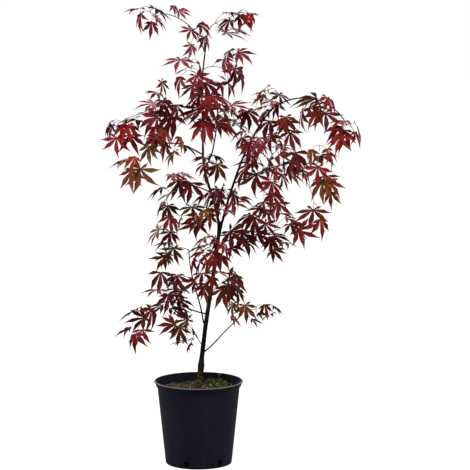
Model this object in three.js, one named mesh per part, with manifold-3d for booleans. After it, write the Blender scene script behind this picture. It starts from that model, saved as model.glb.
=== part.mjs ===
// A young red-leaved garden maple, one metre tall, in a round nursery pot.
// Units are millimetres, with +Z up and the front towards -Y.
// The origin is the centre of the pot's flat underside.

import * as THREE from 'three';
import { mergeVertices } from 'three/addons/utils/BufferGeometryUtils.js';
import Module from 'manifold-3d';

const wasm = await Module();
wasm.setup();

// ---------------------------------------------------------------- driving sizes

// clearance between pieces that touch
const GAP = 0.3;

const POT = {
  height: 181.5,
  footRadius: 71.9,
  shoulderRadius: 89.3,
  lipRadius: 96.5,
  lipHeight: 14,
  lipRound: 2.6,
  lipStep: 0.8,
  rollHeight: 4.2,
  bandRadius: 94,
  bandTaper: 2,
  bandRise: 2.5,
  footRound: 2,
  wall: 1.8,
  floor: 3,
  sectors: 34,
  notches: 6,
  notchWidth: 12,
  notchHeight: 12,
  notchDepth: 9,
  notchFoot: 5,
  firstNotch: 40,
};

const SOIL = {
  edgeLevel: 165.3,
  edgeMargin: 2,
  footLevel: 169.7,
  moundHeight: 4,
  moundX: -48,
  moundY: -12,
  moundReach: 26,
  rippleLength: 9,
  flatRadius: 15,
  sectors: 22,
  rings: 4,
};

// the trunk stands on the soil at this point and is cut flat there
const FOOT = { x: 2, y: 0, z: 170 };

const FLARE = { width: 5.5, height: 6, lobes: 3, lobeDepth: 0.35 };
const GRAFT = { width: 2.2, height: 43, spread: 12 };
const FORK = { width: 2.6, spread: 14 };

const LIMB_SIDES = 7;
const LIMB_STEPS = 10;
const LINE_SAMPLES = 400;
const RING_SPACING = 23;
const FRAME_STEPS = 200;
// the trunk's rings stand closer round its flare, its graft and its fork
const TRUNK_RINGS = {
  aboveFoot: [0, 3, 7, 13, 24, 36, 46, 56, 70],
  belowFork: [28, 14, 7, 0],
  plainFrom: 0.25,
  plainTo: 0.9,
};
// a side limb starts this far from its parent's skin
const START_GAP = 0.25;

// Each limb leaves its parent at a share of the parent's length, then follows
// headings and climbs in degrees. Heading 0 is +X and 90 is +Y, away from the front.
// A climb past 90 leans back over the start. Thick gives the radius at foot and tip.
const LIMBS = {
  trunk: {
    heading: [0, 0], climb: [86, 81, 83], length: 360, thick: [5.4, 3.9],
  },
  leader: {
    parent: 'trunk', at: 1, beside: -3.3,
    heading: [180, 180], climb: [79, 71, 92, 86, 97, 97], length: 417, thick: [3.1, 1.3],
  },
  side_stem: {
    parent: 'trunk', at: 1, beside: 3.5,
    heading: [-25, -29], climb: [74, 68, 51], length: 265, thick: [2.8, 1.8],
  },
  arch_bough: {
    parent: 'side_stem', at: 1,
    heading: [-15, 3], climb: [48, -8, -63], length: 199, thick: [1.7, 1.1],
  },
  low_right_bough: {
    parent: 'trunk', at: 0.2,
    heading: [-35, -48], climb: [34, 45, 39, 46], length: 157, thick: [1.7, 1.1],
  },
  low_left_bough: {
    parent: 'trunk', at: 0.44,
    heading: [-132, -149], climb: [13, 28, -23], length: 164, thick: [1.6, 1.1],
  },
  lower_left_stem: {
    parent: 'trunk', at: 0.336,
    heading: [125, 142], climb: [76, 64, 89], length: 182, thick: [1.8, 1.1],
  },
  middle_left_bough: {
    parent: 'leader', at: 0.16,
    heading: [133, 145], climb: [16, 2, -64], length: 145, thick: [1.6, 1.1],
  },
  middle_right_bough: {
    parent: 'trunk', at: 0.92,
    heading: [62, 29], climb: [-5, 2, -15], length: 150, thick: [1.7, 1.1],
  },
  right_bough: {
    parent: 'side_stem', at: 0.34,
    heading: [-46, -49, -7], climb: [23, 19, 17, -13], length: 230, thick: [1.7, 1.1],
  },
  right_back_bough: {
    parent: 'side_stem', at: 0.57,
    heading: [69, 47], climb: [12, 13, 6], length: 140, thick: [1.6, 1.1],
  },
  upper_left_bough: {
    parent: 'leader', at: 0.36,
    heading: [-114, -120, -154], climb: [19, 18, 6, -29], length: 202, thick: [1.7, 1.1],
  },
  shoulder_bough: {
    parent: 'leader', at: 0.46,
    heading: [102, 140, 176], climb: [23, 30, 21, 6, -36], length: 193, thick: [1.7, 1.1],
  },
  upper_shoot: {
    parent: 'leader', at: 0.29,
    heading: [-51, -64], climb: [41, 69, 80, 97], length: 166, thick: [1.7, 1.1],
  },
  top_left_twig: {
    parent: 'leader', at: 0.88,
    heading: [-150, -172], climb: [74, 47, 11], length: 127, thick: [1.1, 0.9],
  },
};

// Each mass of leaves hangs on a limb at a share of its length. Its middle lies OUT along
// a heading and a climb from there, and half is its half size along, across and over that line.
const MASSES = {
  left_droop: { limb: 'shoulder_bough', at: 0.6, heading: -144, climb: 45, out: 69, half: [22, 17, 22] },
  right_low_outer: { limb: 'right_bough', at: 0.62, heading: 7, climb: -55, out: 142, half: [41, 22, 37] },
  right_outer_lower: { limb: 'right_bough', at: 1, heading: 29, climb: -58, out: 58, half: [32, 26, 33] },
  top_left: { limb: 'top_left_twig', at: 1, heading: -159, climb: -22, out: 39, half: [39, 25, 36] },
  top_tip: { limb: 'top_left_twig', at: 0.85, heading: 65, climb: 59, out: 21, half: [16, 23, 16] },
  top_middle: { limb: 'top_left_twig', at: 0.3, heading: 120, climb: -12, out: 20, half: [33, 40, 45] },
  top_right: { limb: 'leader', at: 0.985, heading: 26, climb: 16, out: 77, half: [47, 31, 30] },
  upper_right: { limb: 'leader', at: 0.8, heading: 35, climb: -7, out: 78, half: [31, 27, 63] },
  upper_left: { limb: 'leader', at: 0.78, heading: -131, climb: -18, out: 42, half: [37, 38, 48] },
  upper_back: { limb: 'leader', at: 0.72, heading: 82, climb: -19, out: 80, half: [31, 37, 39] },
  far_left: { limb: 'shoulder_bough', at: 1, heading: -177, climb: -43, out: 65, half: [50, 24, 34] },
  left_shoulder: { limb: 'shoulder_bough', at: 0.68,
    heading: -162, climb: -53, out: 32, half: [45, 38, 48] },
  centre_belt: { limb: 'upper_shoot', at: 0.72, heading: -128, climb: 29, out: 28, half: [51, 59, 52] },
  belt_back: { limb: 'leader', at: 0.52, heading: 48, climb: 3, out: 105, half: [47, 48, 40] },
  lower_belt: { limb: 'upper_left_bough', at: 0.6, heading: 174, climb: 4, out: 21, half: [50, 30, 35] },
  left_low_tip: { limb: 'upper_left_bough', at: 1, heading: 177, climb: -48, out: 58, half: [42, 24, 36] },
  arch_start: { limb: 'arch_bough', at: 0.15, heading: 166, climb: 17, out: 17, half: [41, 29, 32] },
  arch_middle: { limb: 'arch_bough', at: 0.6, heading: -153, climb: -63, out: 18, half: [43, 35, 50] },
  arch_tip: { limb: 'arch_bough', at: 1, heading: -131, climb: -65, out: 22, half: [33, 40, 36] },
  right_upper_back: { limb: 'right_back_bough', at: 1,
    heading: 24, climb: 42, out: 22, half: [47, 42, 46] },
  right_upper: { limb: 'side_stem', at: 0.58, heading: -75, climb: 26, out: 61, half: [33, 39, 39] },
  right_dense: { limb: 'right_bough', at: 0.65, heading: -44, climb: -13, out: 21, half: [42, 42, 44] },
  right_inner: { limb: 'side_stem', at: 0.38, heading: 60, climb: 0, out: 88, half: [45, 56, 49] },
  right_outer_upper: { limb: 'right_bough', at: 1, heading: -28, climb: 33, out: 18, half: [28, 23, 28] },
  centre_node: { limb: 'leader', at: 0.3, heading: -64, climb: -1, out: 44, half: [30, 39, 34] },
  left_middle: { limb: 'middle_left_bough', at: 0.6,
    heading: 175, climb: -12, out: 11, half: [45, 32, 33] },
  left_middle_low: { limb: 'middle_left_bough', at: 1,
    heading: 58, climb: -85, out: 49, half: [53, 34, 29] },
  left_inner: { limb: 'leader', at: 0.05, heading: -131, climb: -7, out: 67, half: [38, 40, 41] },
  centre_middle: { limb: 'leader', at: 0.12, heading: -71, climb: 2, out: 65, half: [34, 56, 35] },
  right_middle: { limb: 'side_stem', at: 0.12, heading: -40, climb: 6, out: 132, half: [45, 42, 28] },
  right_middle_back: { limb: 'middle_right_bough', at: 0.6,
    heading: 7, climb: 30, out: 40, half: [45, 36, 37] },
  right_low_inner: { limb: 'middle_right_bough', at: 1,
    heading: -6, climb: 11, out: 72, half: [31, 24, 37] },
  right_low_tip: { limb: 'middle_right_bough', at: 1,
    heading: 43, climb: -48, out: 50, half: [35, 27, 34] },
  centre_low_row: { limb: 'middle_right_bough', at: 0.35,
    heading: -45, climb: -42, out: 25, half: [42, 47, 41] },
  centre_red: { limb: 'trunk', at: 0.83, heading: -96, climb: -1, out: 85, half: [34, 46, 45] },
  left_low_arm: { limb: 'lower_left_stem', at: 1, heading: 170, climb: -11, out: 38, half: [51, 27, 38] },
  low_middle: { limb: 'lower_left_stem', at: 0.55, heading: -143, climb: 11, out: 75, half: [56, 46, 41] },
  low_front: { limb: 'trunk', at: 0.45, heading: -95, climb: 46, out: 104, half: [31, 34, 30] },
  low_back: { limb: 'trunk', at: 0.48, heading: 57, climb: 18, out: 100, half: [35, 35, 42] },
  low_left: { limb: 'low_left_bough', at: 0.5, heading: -115, climb: 15, out: 33, half: [29, 43, 30] },
  low_left_tip: { limb: 'low_left_bough', at: 1, heading: -142, climb: -51, out: 50, half: [54, 37, 38] },
  low_left_inner: { limb: 'trunk', at: 0.1, heading: 137, climb: 51, out: 96, half: [43, 39, 42] },
  low_right: { limb: 'low_right_bough', at: 1, heading: 11, climb: 1, out: 15, half: [65, 27, 29] },
};

const MASS_RINGS = 6;
const MASS_SIDES = 7;
const MASS_LOBES = 3;
const LOBE_SHARE = 0.13;
const LOBE_TWIST = 14;
const UNEVEN_SHARE = 0.3;
const STALK_RADIUS = 2.2;
const STALK_ROUND = 0.5;
// a mass that lies further out than this from its limb reaches it by a stalk
const SHORTEST_STALK = 0.6;
// a mass is cut this far from its limb and from the masses beside it
const MASS_GAP = 0.7;
// tiny steps left by the cuts are smoothed away within this
const MASS_TOLERANCE = 0.3;

// ---------------------------------------------------------------- small helpers

const radians = THREE.MathUtils.degToRad;
const UP = new THREE.Vector3(0, 0, 1);
const MERGE_DISTANCE = 1e-4;

function mix(values, share) {
  const place = THREE.MathUtils.clamp(share, 0, 1) * (values.length - 1);
  const index = Math.min(Math.floor(place), values.length - 2);
  return THREE.MathUtils.lerp(values[index], values[index + 1], place - index);
}

function direction(heading, climb) {
  const level = Math.cos(radians(climb));
  return new THREE.Vector3(
    level * Math.cos(radians(heading)),
    level * Math.sin(radians(heading)),
    Math.sin(radians(climb)),
  );
}

function randomSource(seed) {
  let state = seed * 7919 + 17;
  return () => {
    state = (state * 16807) % 2147483647;
    return state / 2147483647;
  };
}

// a closed skin over rings of equal length, with a point at each end
function skin(rings, firstPoint, lastPoint) {
  const sides = rings[0].length;
  const points = [firstPoint, ...rings.flat(), lastPoint];
  const last = points.length - 1;
  const faces = [];
  for (let side = 0; side < sides; side += 1) {
    const next = (side + 1) % sides;
    faces.push(0, 1 + next, 1 + side);
    for (let ring = 0; ring < rings.length - 1; ring += 1) {
      const near = 1 + ring * sides;
      const far = near + sides;
      faces.push(near + side, near + next, far + next);
      faces.push(near + side, far + next, far + side);
    }
    const end = 1 + (rings.length - 1) * sides;
    faces.push(end + side, end + next, last);
  }
  const geometry = new THREE.BufferGeometry();
  const places = points.flatMap((point) => point.toArray());
  geometry.setAttribute('position', new THREE.Float32BufferAttribute(places, 3));
  geometry.setIndex(faces);
  return geometry;
}

function toSolid(geometry) {
  const bare = geometry.clone();
  bare.deleteAttribute('normal');
  bare.deleteAttribute('uv');
  const merged = mergeVertices(bare, MERGE_DISTANCE);
  const mesh = new wasm.Mesh({
    numProp: 3,
    vertProperties: new Float32Array(merged.attributes.position.array),
    triVerts: new Uint32Array(merged.index.array),
  });
  return new wasm.Manifold(mesh);
}

function toGeometry(solid) {
  const mesh = solid.getMesh();
  const geometry = new THREE.BufferGeometry();
  geometry.setAttribute('position', new THREE.BufferAttribute(new Float32Array(mesh.vertProperties), 3));
  geometry.setIndex(new THREE.BufferAttribute(new Uint32Array(mesh.triVerts), 1));
  return geometry;
}

function largestPiece(solid) {
  const pieces = solid.decompose();
  return pieces.reduce((best, piece) => (piece.volume() > best.volume() ? piece : best));
}

// ---------------------------------------------------------------- pot and soil

function wallRadius(height) {
  const share = height / (POT.height - POT.lipHeight);
  return THREE.MathUtils.lerp(POT.footRadius, POT.shoulderRadius, share);
}

function potProfile() {
  const lipFoot = POT.height - POT.lipHeight;
  const inner = POT.shoulderRadius - POT.wall;
  const outline = [
    [0, 0],
    [POT.footRadius - POT.footRound, 0],
    [wallRadius(POT.footRound), POT.footRound],
    [POT.shoulderRadius, lipFoot],
    [POT.bandRadius - POT.bandTaper, lipFoot + POT.bandRise],
    [POT.bandRadius, POT.height - POT.rollHeight - POT.lipStep],
    [POT.lipRadius, POT.height - POT.rollHeight],
    [POT.lipRadius, POT.height - POT.lipRound],
    [POT.lipRadius - POT.lipRound, POT.height],
    [inner + POT.lipRound, POT.height],
    [inner, POT.height - POT.lipRound],
    [inner, lipFoot],
    [wallRadius(POT.floor) - POT.wall, POT.floor],
    [0, POT.floor],
  ];
  return outline.map(([radius, height]) => new THREE.Vector2(radius, height));
}

function turned(profile, sectors) {
  const geometry = new THREE.LatheGeometry(profile, sectors);
  geometry.rotateX(Math.PI / 2);
  return geometry;
}

function buildPot() {
  let pot = toSolid(turned(potProfile(), POT.sectors));
  for (let index = 0; index < POT.notches; index += 1) {
    const notch = new THREE.BoxGeometry(POT.notchDepth, POT.notchWidth, POT.notchHeight);
    notch.translate(POT.footRadius, 0, POT.notchFoot + POT.notchHeight / 2);
    notch.rotateZ(radians(POT.firstNotch - 90 + index * (360 / POT.notches)));
    pot = pot.subtract(toSolid(notch));
  }
  return toGeometry(pot);
}

function soilLevel(x, y, reach) {
  const edge = THREE.MathUtils.smoothstep(reach, SOIL.flatRadius, POT.shoulderRadius);
  const mound = Math.exp(-((x - SOIL.moundX) ** 2 + (y - SOIL.moundY) ** 2) / SOIL.moundReach ** 2);
  const ripple = Math.sin(x / SOIL.rippleLength) * Math.cos(y / SOIL.rippleLength) * edge;
  const level = THREE.MathUtils.lerp(SOIL.footLevel, SOIL.edgeLevel, edge);
  return level + mound * SOIL.moundHeight * edge + ripple;
}

function soilRing(radius, level) {
  const ring = [];
  for (let sector = 0; sector < SOIL.sectors; sector += 1) {
    const turn = (sector / SOIL.sectors) * Math.PI * 2;
    const x = radius * Math.cos(turn);
    const y = radius * Math.sin(turn);
    ring.push(new THREE.Vector3(x, y, level ?? soilLevel(x, y, radius)));
  }
  return ring;
}

function buildSoil() {
  // the faceted wall is nearest the axis half way between its corners
  const flats = Math.cos(Math.PI / POT.sectors);
  const bottom = POT.floor + GAP;
  const insideWall = (height) => (wallRadius(height) - POT.wall) * flats - GAP;
  const rings = [soilRing(insideWall(bottom), bottom)];
  const rim = insideWall(SOIL.edgeLevel - SOIL.edgeMargin);
  for (let ring = 0; ring < SOIL.rings; ring += 1) {
    rings.push(soilRing(THREE.MathUtils.lerp(rim, SOIL.flatRadius, ring / (SOIL.rings - 1))));
  }
  const under = new THREE.Vector3(0, 0, bottom);
  const over = new THREE.Vector3(0, 0, SOIL.footLevel);
  return skin(rings, under, over);
}

// ---------------------------------------------------------------- limbs

function bell(distance, spread) {
  return Math.exp(-((distance / spread) ** 2));
}

function limbRadius(name, share, turn) {
  const limb = LIMBS[name];
  const plain = mix(limb.thick, share);
  if (name !== 'trunk') return plain;
  const height = share * limb.length;
  const lobes = 1 + FLARE.lobeDepth * Math.cos(FLARE.lobes * turn);
  const flare = FLARE.width * Math.exp(-height / FLARE.height) * lobes;
  const graft = GRAFT.width * bell(height - GRAFT.height, GRAFT.spread);
  const fork = FORK.width * bell(limb.length - height, FORK.spread);
  return plain + flare + graft + fork;
}

// a limb that goes on from its parent's tip starts this far beyond it
function tipClearance(limb, line) {
  const facing = limb.parent === 'trunk' ? UP : lines[limb.parent].getTangentAt(1);
  const lean = facing.angleTo(line.getTangentAt(0));
  return (GAP + limb.thick[0] * Math.sin(lean)) / Math.cos(lean);
}

function nearestShare(line, point) {
  let best = 0;
  for (let share = 0; share <= 1; share += 1 / LINE_SAMPLES) {
    const closer = line.getPointAt(share).distanceTo(point) < line.getPointAt(best).distanceTo(point);
    if (closer) best = share;
  }
  return best;
}

// the share of its own line at which a side limb's flat end just clears its parent
function sideStart(limb, line) {
  const parent = lines[limb.parent];
  for (let share = 0; share < 0.5; share += 1 / LINE_SAMPLES) {
    const point = line.getPointAt(share);
    const beside = nearestShare(parent, point);
    const lean = parent.getTangentAt(beside).angleTo(line.getTangentAt(share));
    const needed = limbRadius(limb.parent, beside, 0) + START_GAP + limb.thick[0] * Math.cos(lean);
    if (parent.getPointAt(beside).distanceTo(point) >= needed) return share;
  }
  return 0.5;
}

function limbLine(name) {
  const limb = LIMBS[name];
  const parent = lines[limb.parent];
  const start = new THREE.Vector3(FOOT.x, FOOT.y, FOOT.z);
  if (parent) {
    start.copy(parent.getPointAt(limb.at));
    start.x += limb.beside ?? 0;
  }
  const points = [start];
  const step = limb.length / LIMB_STEPS;
  for (let index = 0; index < LIMB_STEPS; index += 1) {
    const share = (index + 0.5) / LIMB_STEPS;
    const way = direction(mix(limb.heading, share), mix(limb.climb, share));
    points.push(points[index].clone().addScaledVector(way, step));
  }
  const line = new THREE.CatmullRomCurve3(points);
  line.firstShare = 0;
  if (limb.at === 1) {
    line.firstShare = tipClearance(limb, line) / limb.length;
  } else if (parent) {
    line.firstShare = sideStart(limb, line);
  }
  return line;
}

function ringShares(name) {
  const first = lines[name].firstShare;
  const { length } = LIMBS[name];
  const bays = Math.round(length / RING_SPACING);
  const even = Array.from({ length: bays + 1 }, (_, ring) => THREE.MathUtils.lerp(first, 1, ring / bays));
  if (name !== 'trunk') return even;
  const nearFoot = TRUNK_RINGS.aboveFoot.map((height) => height / length);
  const nearFork = TRUNK_RINGS.belowFork.map((below) => 1 - below / length);
  const between = even.filter((share) => share > TRUNK_RINGS.plainFrom && share < TRUNK_RINGS.plainTo);
  return [...nearFoot, ...between, ...nearFork];
}

function limbGeometry(name, clearance) {
  const line = lines[name];
  const frames = line.computeFrenetFrames(FRAME_STEPS);
  const rings = ringShares(name).map((share) => {
    const middle = line.getPointAt(share);
    const frame = Math.round(share * FRAME_STEPS);
    const ring = [];
    for (let side = 0; side < LIMB_SIDES; side += 1) {
      const turn = (side / LIMB_SIDES) * Math.PI * 2;
      const radius = limbRadius(name, share, turn) + clearance;
      const point = middle.clone();
      point.addScaledVector(frames.normals[frame], Math.cos(turn) * radius);
      point.addScaledVector(frames.binormals[frame], Math.sin(turn) * radius);
      ring.push(point);
    }
    return ring;
  });
  const first = line.getPointAt(line.firstShare);
  const last = line.getPointAt(1);
  if (name === 'trunk') {
    rings[0].forEach((point) => point.setZ(first.z));
    rings.at(-1).forEach((point) => point.setZ(last.z));
  }
  first.addScaledVector(line.getTangentAt(line.firstShare), -clearance);
  last.addScaledVector(line.getTangentAt(1), clearance);
  return skin(rings, first, last);
}

// ---------------------------------------------------------------- masses of leaves

function massAxes(mass) {
  const along = direction(mass.heading, mass.climb);
  const across = direction(mass.heading + 90, 0);
  const over = along.clone().cross(across);
  return { along, across, over };
}

function massGeometry(mass, seed, grow) {
  const random = randomSource(seed);
  const { along, across, over } = massAxes(mass);
  const root = lines[mass.limb].getPointAt(mass.at);
  const middle = root.clone().addScaledVector(along, mass.out);
  const place = (distance, sideways, upward) => middle.clone()
    .addScaledVector(along, distance)
    .addScaledVector(across, sideways)
    .addScaledVector(over, upward);
  const ringAt = (distance, reach, uneven) => {
    const ring = [];
    for (let side = 0; side < MASS_SIDES; side += 1) {
      const turn = (side / MASS_SIDES) * Math.PI * 2;
      const size = uneven ? unevenSize(random, turn, distance) : 1;
      const sideways = Math.cos(turn) * (reach[0] * size + grow);
      const upward = Math.sin(turn) * (reach[1] * size + grow);
      ring.push(place(distance, sideways, upward));
    }
    return ring;
  };
  const rings = [];
  const stalk = mass.out - mass.half[0];
  const stalked = stalk > SHORTEST_STALK;
  if (stalked) {
    rings.push(ringAt(-mass.out + STALK_ROUND, [STALK_RADIUS, STALK_RADIUS], false));
    rings.push(ringAt(-mass.half[0], [STALK_RADIUS, STALK_RADIUS], false));
  }
  for (let index = 1; index < MASS_RINGS; index += 1) {
    const polar = (index / MASS_RINGS) * Math.PI;
    const width = Math.sin(polar);
    const distance = -Math.cos(polar) * mass.half[0];
    rings.push(ringAt(distance, [mass.half[1] * width, mass.half[2] * width], true));
  }
  const nearEnd = stalked ? -mass.out - grow : -mass.half[0] - grow;
  return skin(rings, place(nearEnd, 0, 0), place(mass.half[0] + grow, 0, 0));
}

function unevenSize(random, turn, distance) {
  const lobes = Math.cos(MASS_LOBES * turn + distance / LOBE_TWIST) * LOBE_SHARE;
  return 1 - UNEVEN_SHARE / 2 + lobes + random() * UNEVEN_SHARE;
}

function cutMasses() {
  const names = Object.keys(MASSES);
  const limbs = Object.keys(LIMBS).map((name) => toSolid(limbGeometry(name, MASS_GAP)));
  const placed = [];
  const geometries = {};
  names.forEach((name, index) => {
    let solid = toSolid(massGeometry(MASSES[name], index + 1, 0));
    for (const other of [...limbs, ...placed]) solid = solid.subtract(other);
    placed.push(toSolid(massGeometry(MASSES[name], index + 1, MASS_GAP)));
    geometries[name] = toGeometry(largestPiece(solid.simplify(MASS_TOLERANCE)));
  });
  return geometries;
}

// ---------------------------------------------------------------- finishes

const FINISHES = {
  pot: { color: '#191a23', roughness: 0.42, metalness: 0 },
  soil: { color: '#2e2419', roughness: 0.95, metalness: 0 },
  bark: { color: '#3a322c', roughness: 0.8, metalness: 0 },
  leaves: { color: '#6d1f1c', roughness: 0.6, metalness: 0 },
};

function finish(name) {
  return new THREE.MeshStandardMaterial(FINISHES[name]);
}

// ---------------------------------------------------------------- assembly

const lines = {};
for (const name of Object.keys(LIMBS)) lines[name] = limbLine(name);

const plant = new THREE.Group();

function addPiece(name, geometry, finishName) {
  const mesh = new THREE.Mesh(geometry, finish(finishName));
  mesh.name = name;
  plant.add(mesh);
}

addPiece('pot', buildPot(), 'pot');
addPiece('soil', buildSoil(), 'soil');
for (const name of Object.keys(LIMBS)) addPiece(name, limbGeometry(name, 0), 'bark');
for (const [name, geometry] of Object.entries(cutMasses())) addPiece(`leaves_${name}`, geometry, 'leaves');

export default plant;
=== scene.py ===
"""A young red-leaved Japanese maple in a black nursery pot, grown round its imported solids.

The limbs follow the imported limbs. Twigs, stalks and leaves grow from them by one seeded
rule, and each packed mass of leaves says where its own leaves may hang.
Everything is in metres, with +Z up and the front towards -Y.
"""

import math

import bmesh
import bpy
import numpy as np
from mathutils import Matrix, Vector, noise
from mathutils.bvhtree import BVHTree


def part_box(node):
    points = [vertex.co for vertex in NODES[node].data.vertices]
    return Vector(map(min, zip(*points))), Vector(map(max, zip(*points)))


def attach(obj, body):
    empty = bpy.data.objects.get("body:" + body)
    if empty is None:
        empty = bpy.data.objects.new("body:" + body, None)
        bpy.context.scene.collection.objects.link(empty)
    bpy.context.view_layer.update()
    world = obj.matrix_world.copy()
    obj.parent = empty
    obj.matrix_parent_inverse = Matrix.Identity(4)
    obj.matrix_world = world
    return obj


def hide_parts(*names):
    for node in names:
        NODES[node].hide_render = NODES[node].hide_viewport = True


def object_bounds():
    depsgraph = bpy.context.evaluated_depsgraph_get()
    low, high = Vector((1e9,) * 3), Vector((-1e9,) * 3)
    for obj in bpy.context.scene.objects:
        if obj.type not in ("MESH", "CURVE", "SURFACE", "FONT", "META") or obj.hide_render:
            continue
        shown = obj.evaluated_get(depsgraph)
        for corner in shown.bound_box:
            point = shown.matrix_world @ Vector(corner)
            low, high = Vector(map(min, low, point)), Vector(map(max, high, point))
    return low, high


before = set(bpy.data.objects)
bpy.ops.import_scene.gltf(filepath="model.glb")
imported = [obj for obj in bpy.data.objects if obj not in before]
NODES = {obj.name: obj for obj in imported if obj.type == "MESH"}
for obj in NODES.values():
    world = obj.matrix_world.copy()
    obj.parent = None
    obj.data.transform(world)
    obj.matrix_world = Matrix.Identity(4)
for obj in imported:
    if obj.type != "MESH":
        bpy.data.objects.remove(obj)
cad_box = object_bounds()

# ---------------------------------------------------------------- sizes and growth

MM = 0.001
BODY = "root"
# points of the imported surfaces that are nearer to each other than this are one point
CAD_MERGE = 0.01 * MM
DOWN = np.array([0.0, 0.0, -1.0])
UP = np.array([0.0, 0.0, 1.0])
SIDEWAYS = np.array([1.0, 0.0, 0.0])

# one full-grown leaf: its middle lobe from hub to tip, and how wide that lobe is
LOBE_LENGTH = 60 * MM
LOBE_WIDTH = 12.8 * MM
# where along a lobe its width is measured, and the share of the half width there
LOBE_STATIONS = (0.10, 0.34, 0.55, 0.78)
LOBE_WIDTHS = (0.22, 0.76, 1.0, 0.36)
# lobes up to this share of the middle one's length are drawn with fewer points
SMALL_LOBE = 0.55

# each shape of leaf: lobe angles on one side, their lengths, how far the lobes bend down,
# how far the two halves of a lobe are folded up, and how far the tips curl sideways
LEAF_SHAPES = (
    {"angles": (0, 36, 74, 116), "lengths": (1.0, 0.93, 0.72, 0.36), "bend": 12, "fold": 22, "curl": 9},
    {"angles": (0, 33, 68, 110), "lengths": (1.0, 0.90, 0.68, 0.34), "bend": 24, "fold": 26, "curl": -7},
    {"angles": (0, 39, 80, 124), "lengths": (1.0, 0.95, 0.78, 0.42), "bend": 6, "fold": 16, "curl": 13},
    {"angles": (0, 31, 64, 104), "lengths": (1.0, 0.88, 0.66, 0.34), "bend": 32, "fold": 30, "curl": 5},
    {"angles": (0, 40, 84), "lengths": (1.0, 0.92, 0.64), "bend": 14, "fold": 20, "curl": -11},
    {"angles": (0, 35, 74), "lengths": (1.0, 0.86, 0.58), "bend": 26, "fold": 26, "curl": 8},
    {"angles": (0, 37, 77, 118), "lengths": (1.0, 0.97, 0.80, 0.42), "bend": 18, "fold": 14, "curl": 16},
    {"angles": (0, 34, 66), "lengths": (1.0, 0.74, 0.40), "bend": 20, "fold": 40, "curl": 4},
)
YOUNG_LEAF = 7

# how far leaves hang down from level in degrees, their sizes and the size of young ones
LEAF_PITCH = (0, 82)
LEAF_SIZES = (0.8, 1.12)
YOUNG_SIZE = 0.8

STALK_LENGTH = (14 * MM, 36 * MM)
STALK_THICKNESS = 0.55 * MM
TWIG_THICKNESS = (0.95 * MM, 0.55 * MM)
TWIG_STEP = 6 * MM
SHORTEST_TWIG = 8 * MM
NODE_SPACING = 30 * MM
LEAF_REACH = 44 * MM

# For each spray: the tints that its leaves take in turn, how large its leaves are, and the
# share of its front that they hide.
SPRAYS = {
    "top_left": ("burgundy amber crimson burgundy", 1.0, 0.54),
    "top_tip": ("rose", 0.6, 0.31),
    "top_middle": ("rose rose crimson", 0.8, 0.45),
    "top_right": ("rose crimson rose scarlet", 0.95, 0.66),
    "upper_right": ("rose burgundy rose", 1.0, 0.60),
    "upper_left": ("rose burgundy rose plum", 1.0, 0.64),
    "upper_back": ("burgundy crimson rose", 1.0, 0.62),
    "left_droop": ("rust umber", 0.9, 0.20),
    "far_left": ("crimson crimson scarlet", 1.0, 0.80),
    "left_shoulder": ("burgundy burgundy crimson rose", 1.15, 0.82),
    "centre_belt": ("burgundy crimson burgundy rust", 1.1, 0.80),
    "belt_back": ("burgundy rust crimson", 1.05, 0.62),
    "lower_belt": ("amber rust burgundy olive", 0.95, 0.56),
    "left_low_tip": ("amber olive amber", 1.0, 0.44),
    "arch_start": ("rose scarlet rose amber", 0.95, 0.72),
    "arch_middle": ("scarlet amber crimson rose", 1.1, 0.72),
    "arch_tip": ("crimson crimson scarlet", 1.0, 0.78),
    "right_upper_back": ("burgundy rust umber", 0.95, 0.72),
    "right_upper": ("burgundy rust rose", 0.95, 0.70),
    "right_dense": ("rust burgundy crimson umber", 1.0, 0.95),
    "right_inner": ("scarlet crimson rust crimson", 1.05, 0.52),
    "right_outer_upper": ("amber scarlet", 0.95, 0.60),
    "right_outer_lower": ("amber rust olive", 1.0, 0.70),
    "centre_node": ("olive umber rose", 0.85, 0.68),
    "left_middle": ("umber burgundy rust", 1.0, 0.70),
    "left_middle_low": ("umber rust plum olive", 0.95, 0.66),
    "left_inner": ("umber plum olive", 0.95, 0.74),
    "centre_middle": ("plum burgundy plum umber", 1.0, 0.84),
    "right_middle": ("umber plum burgundy rust", 0.9, 0.60),
    "right_middle_back": ("rust burgundy plum", 1.0, 0.70),
    "right_low_inner": ("scarlet crimson", 1.05, 0.58),
    "right_low_outer": ("scarlet rust crimson", 1.05, 0.42),
    "right_low_tip": ("rust amber scarlet", 0.95, 0.50),
    "centre_low_row": ("plum plum burgundy", 1.05, 0.59),
    "centre_red": ("rust crimson burgundy", 1.05, 0.78),
    "left_low_arm": ("umber olive plum", 0.85, 0.36),
    "low_middle": ("plum umber burgundy", 1.0, 0.55),
    "low_front": ("umber rust plum", 0.95, 0.76),
    "low_back": ("umber olive rust", 1.0, 0.76),
    "low_left": ("umber plum rust plum", 0.95, 0.76),
    "low_left_tip": ("crimson burgundy burgundy", 1.05, 0.64),
    "low_left_inner": ("olive umber rust", 1.0, 0.62),
    "low_right": ("olive amber umber olive", 0.76, 0.60),
}

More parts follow.
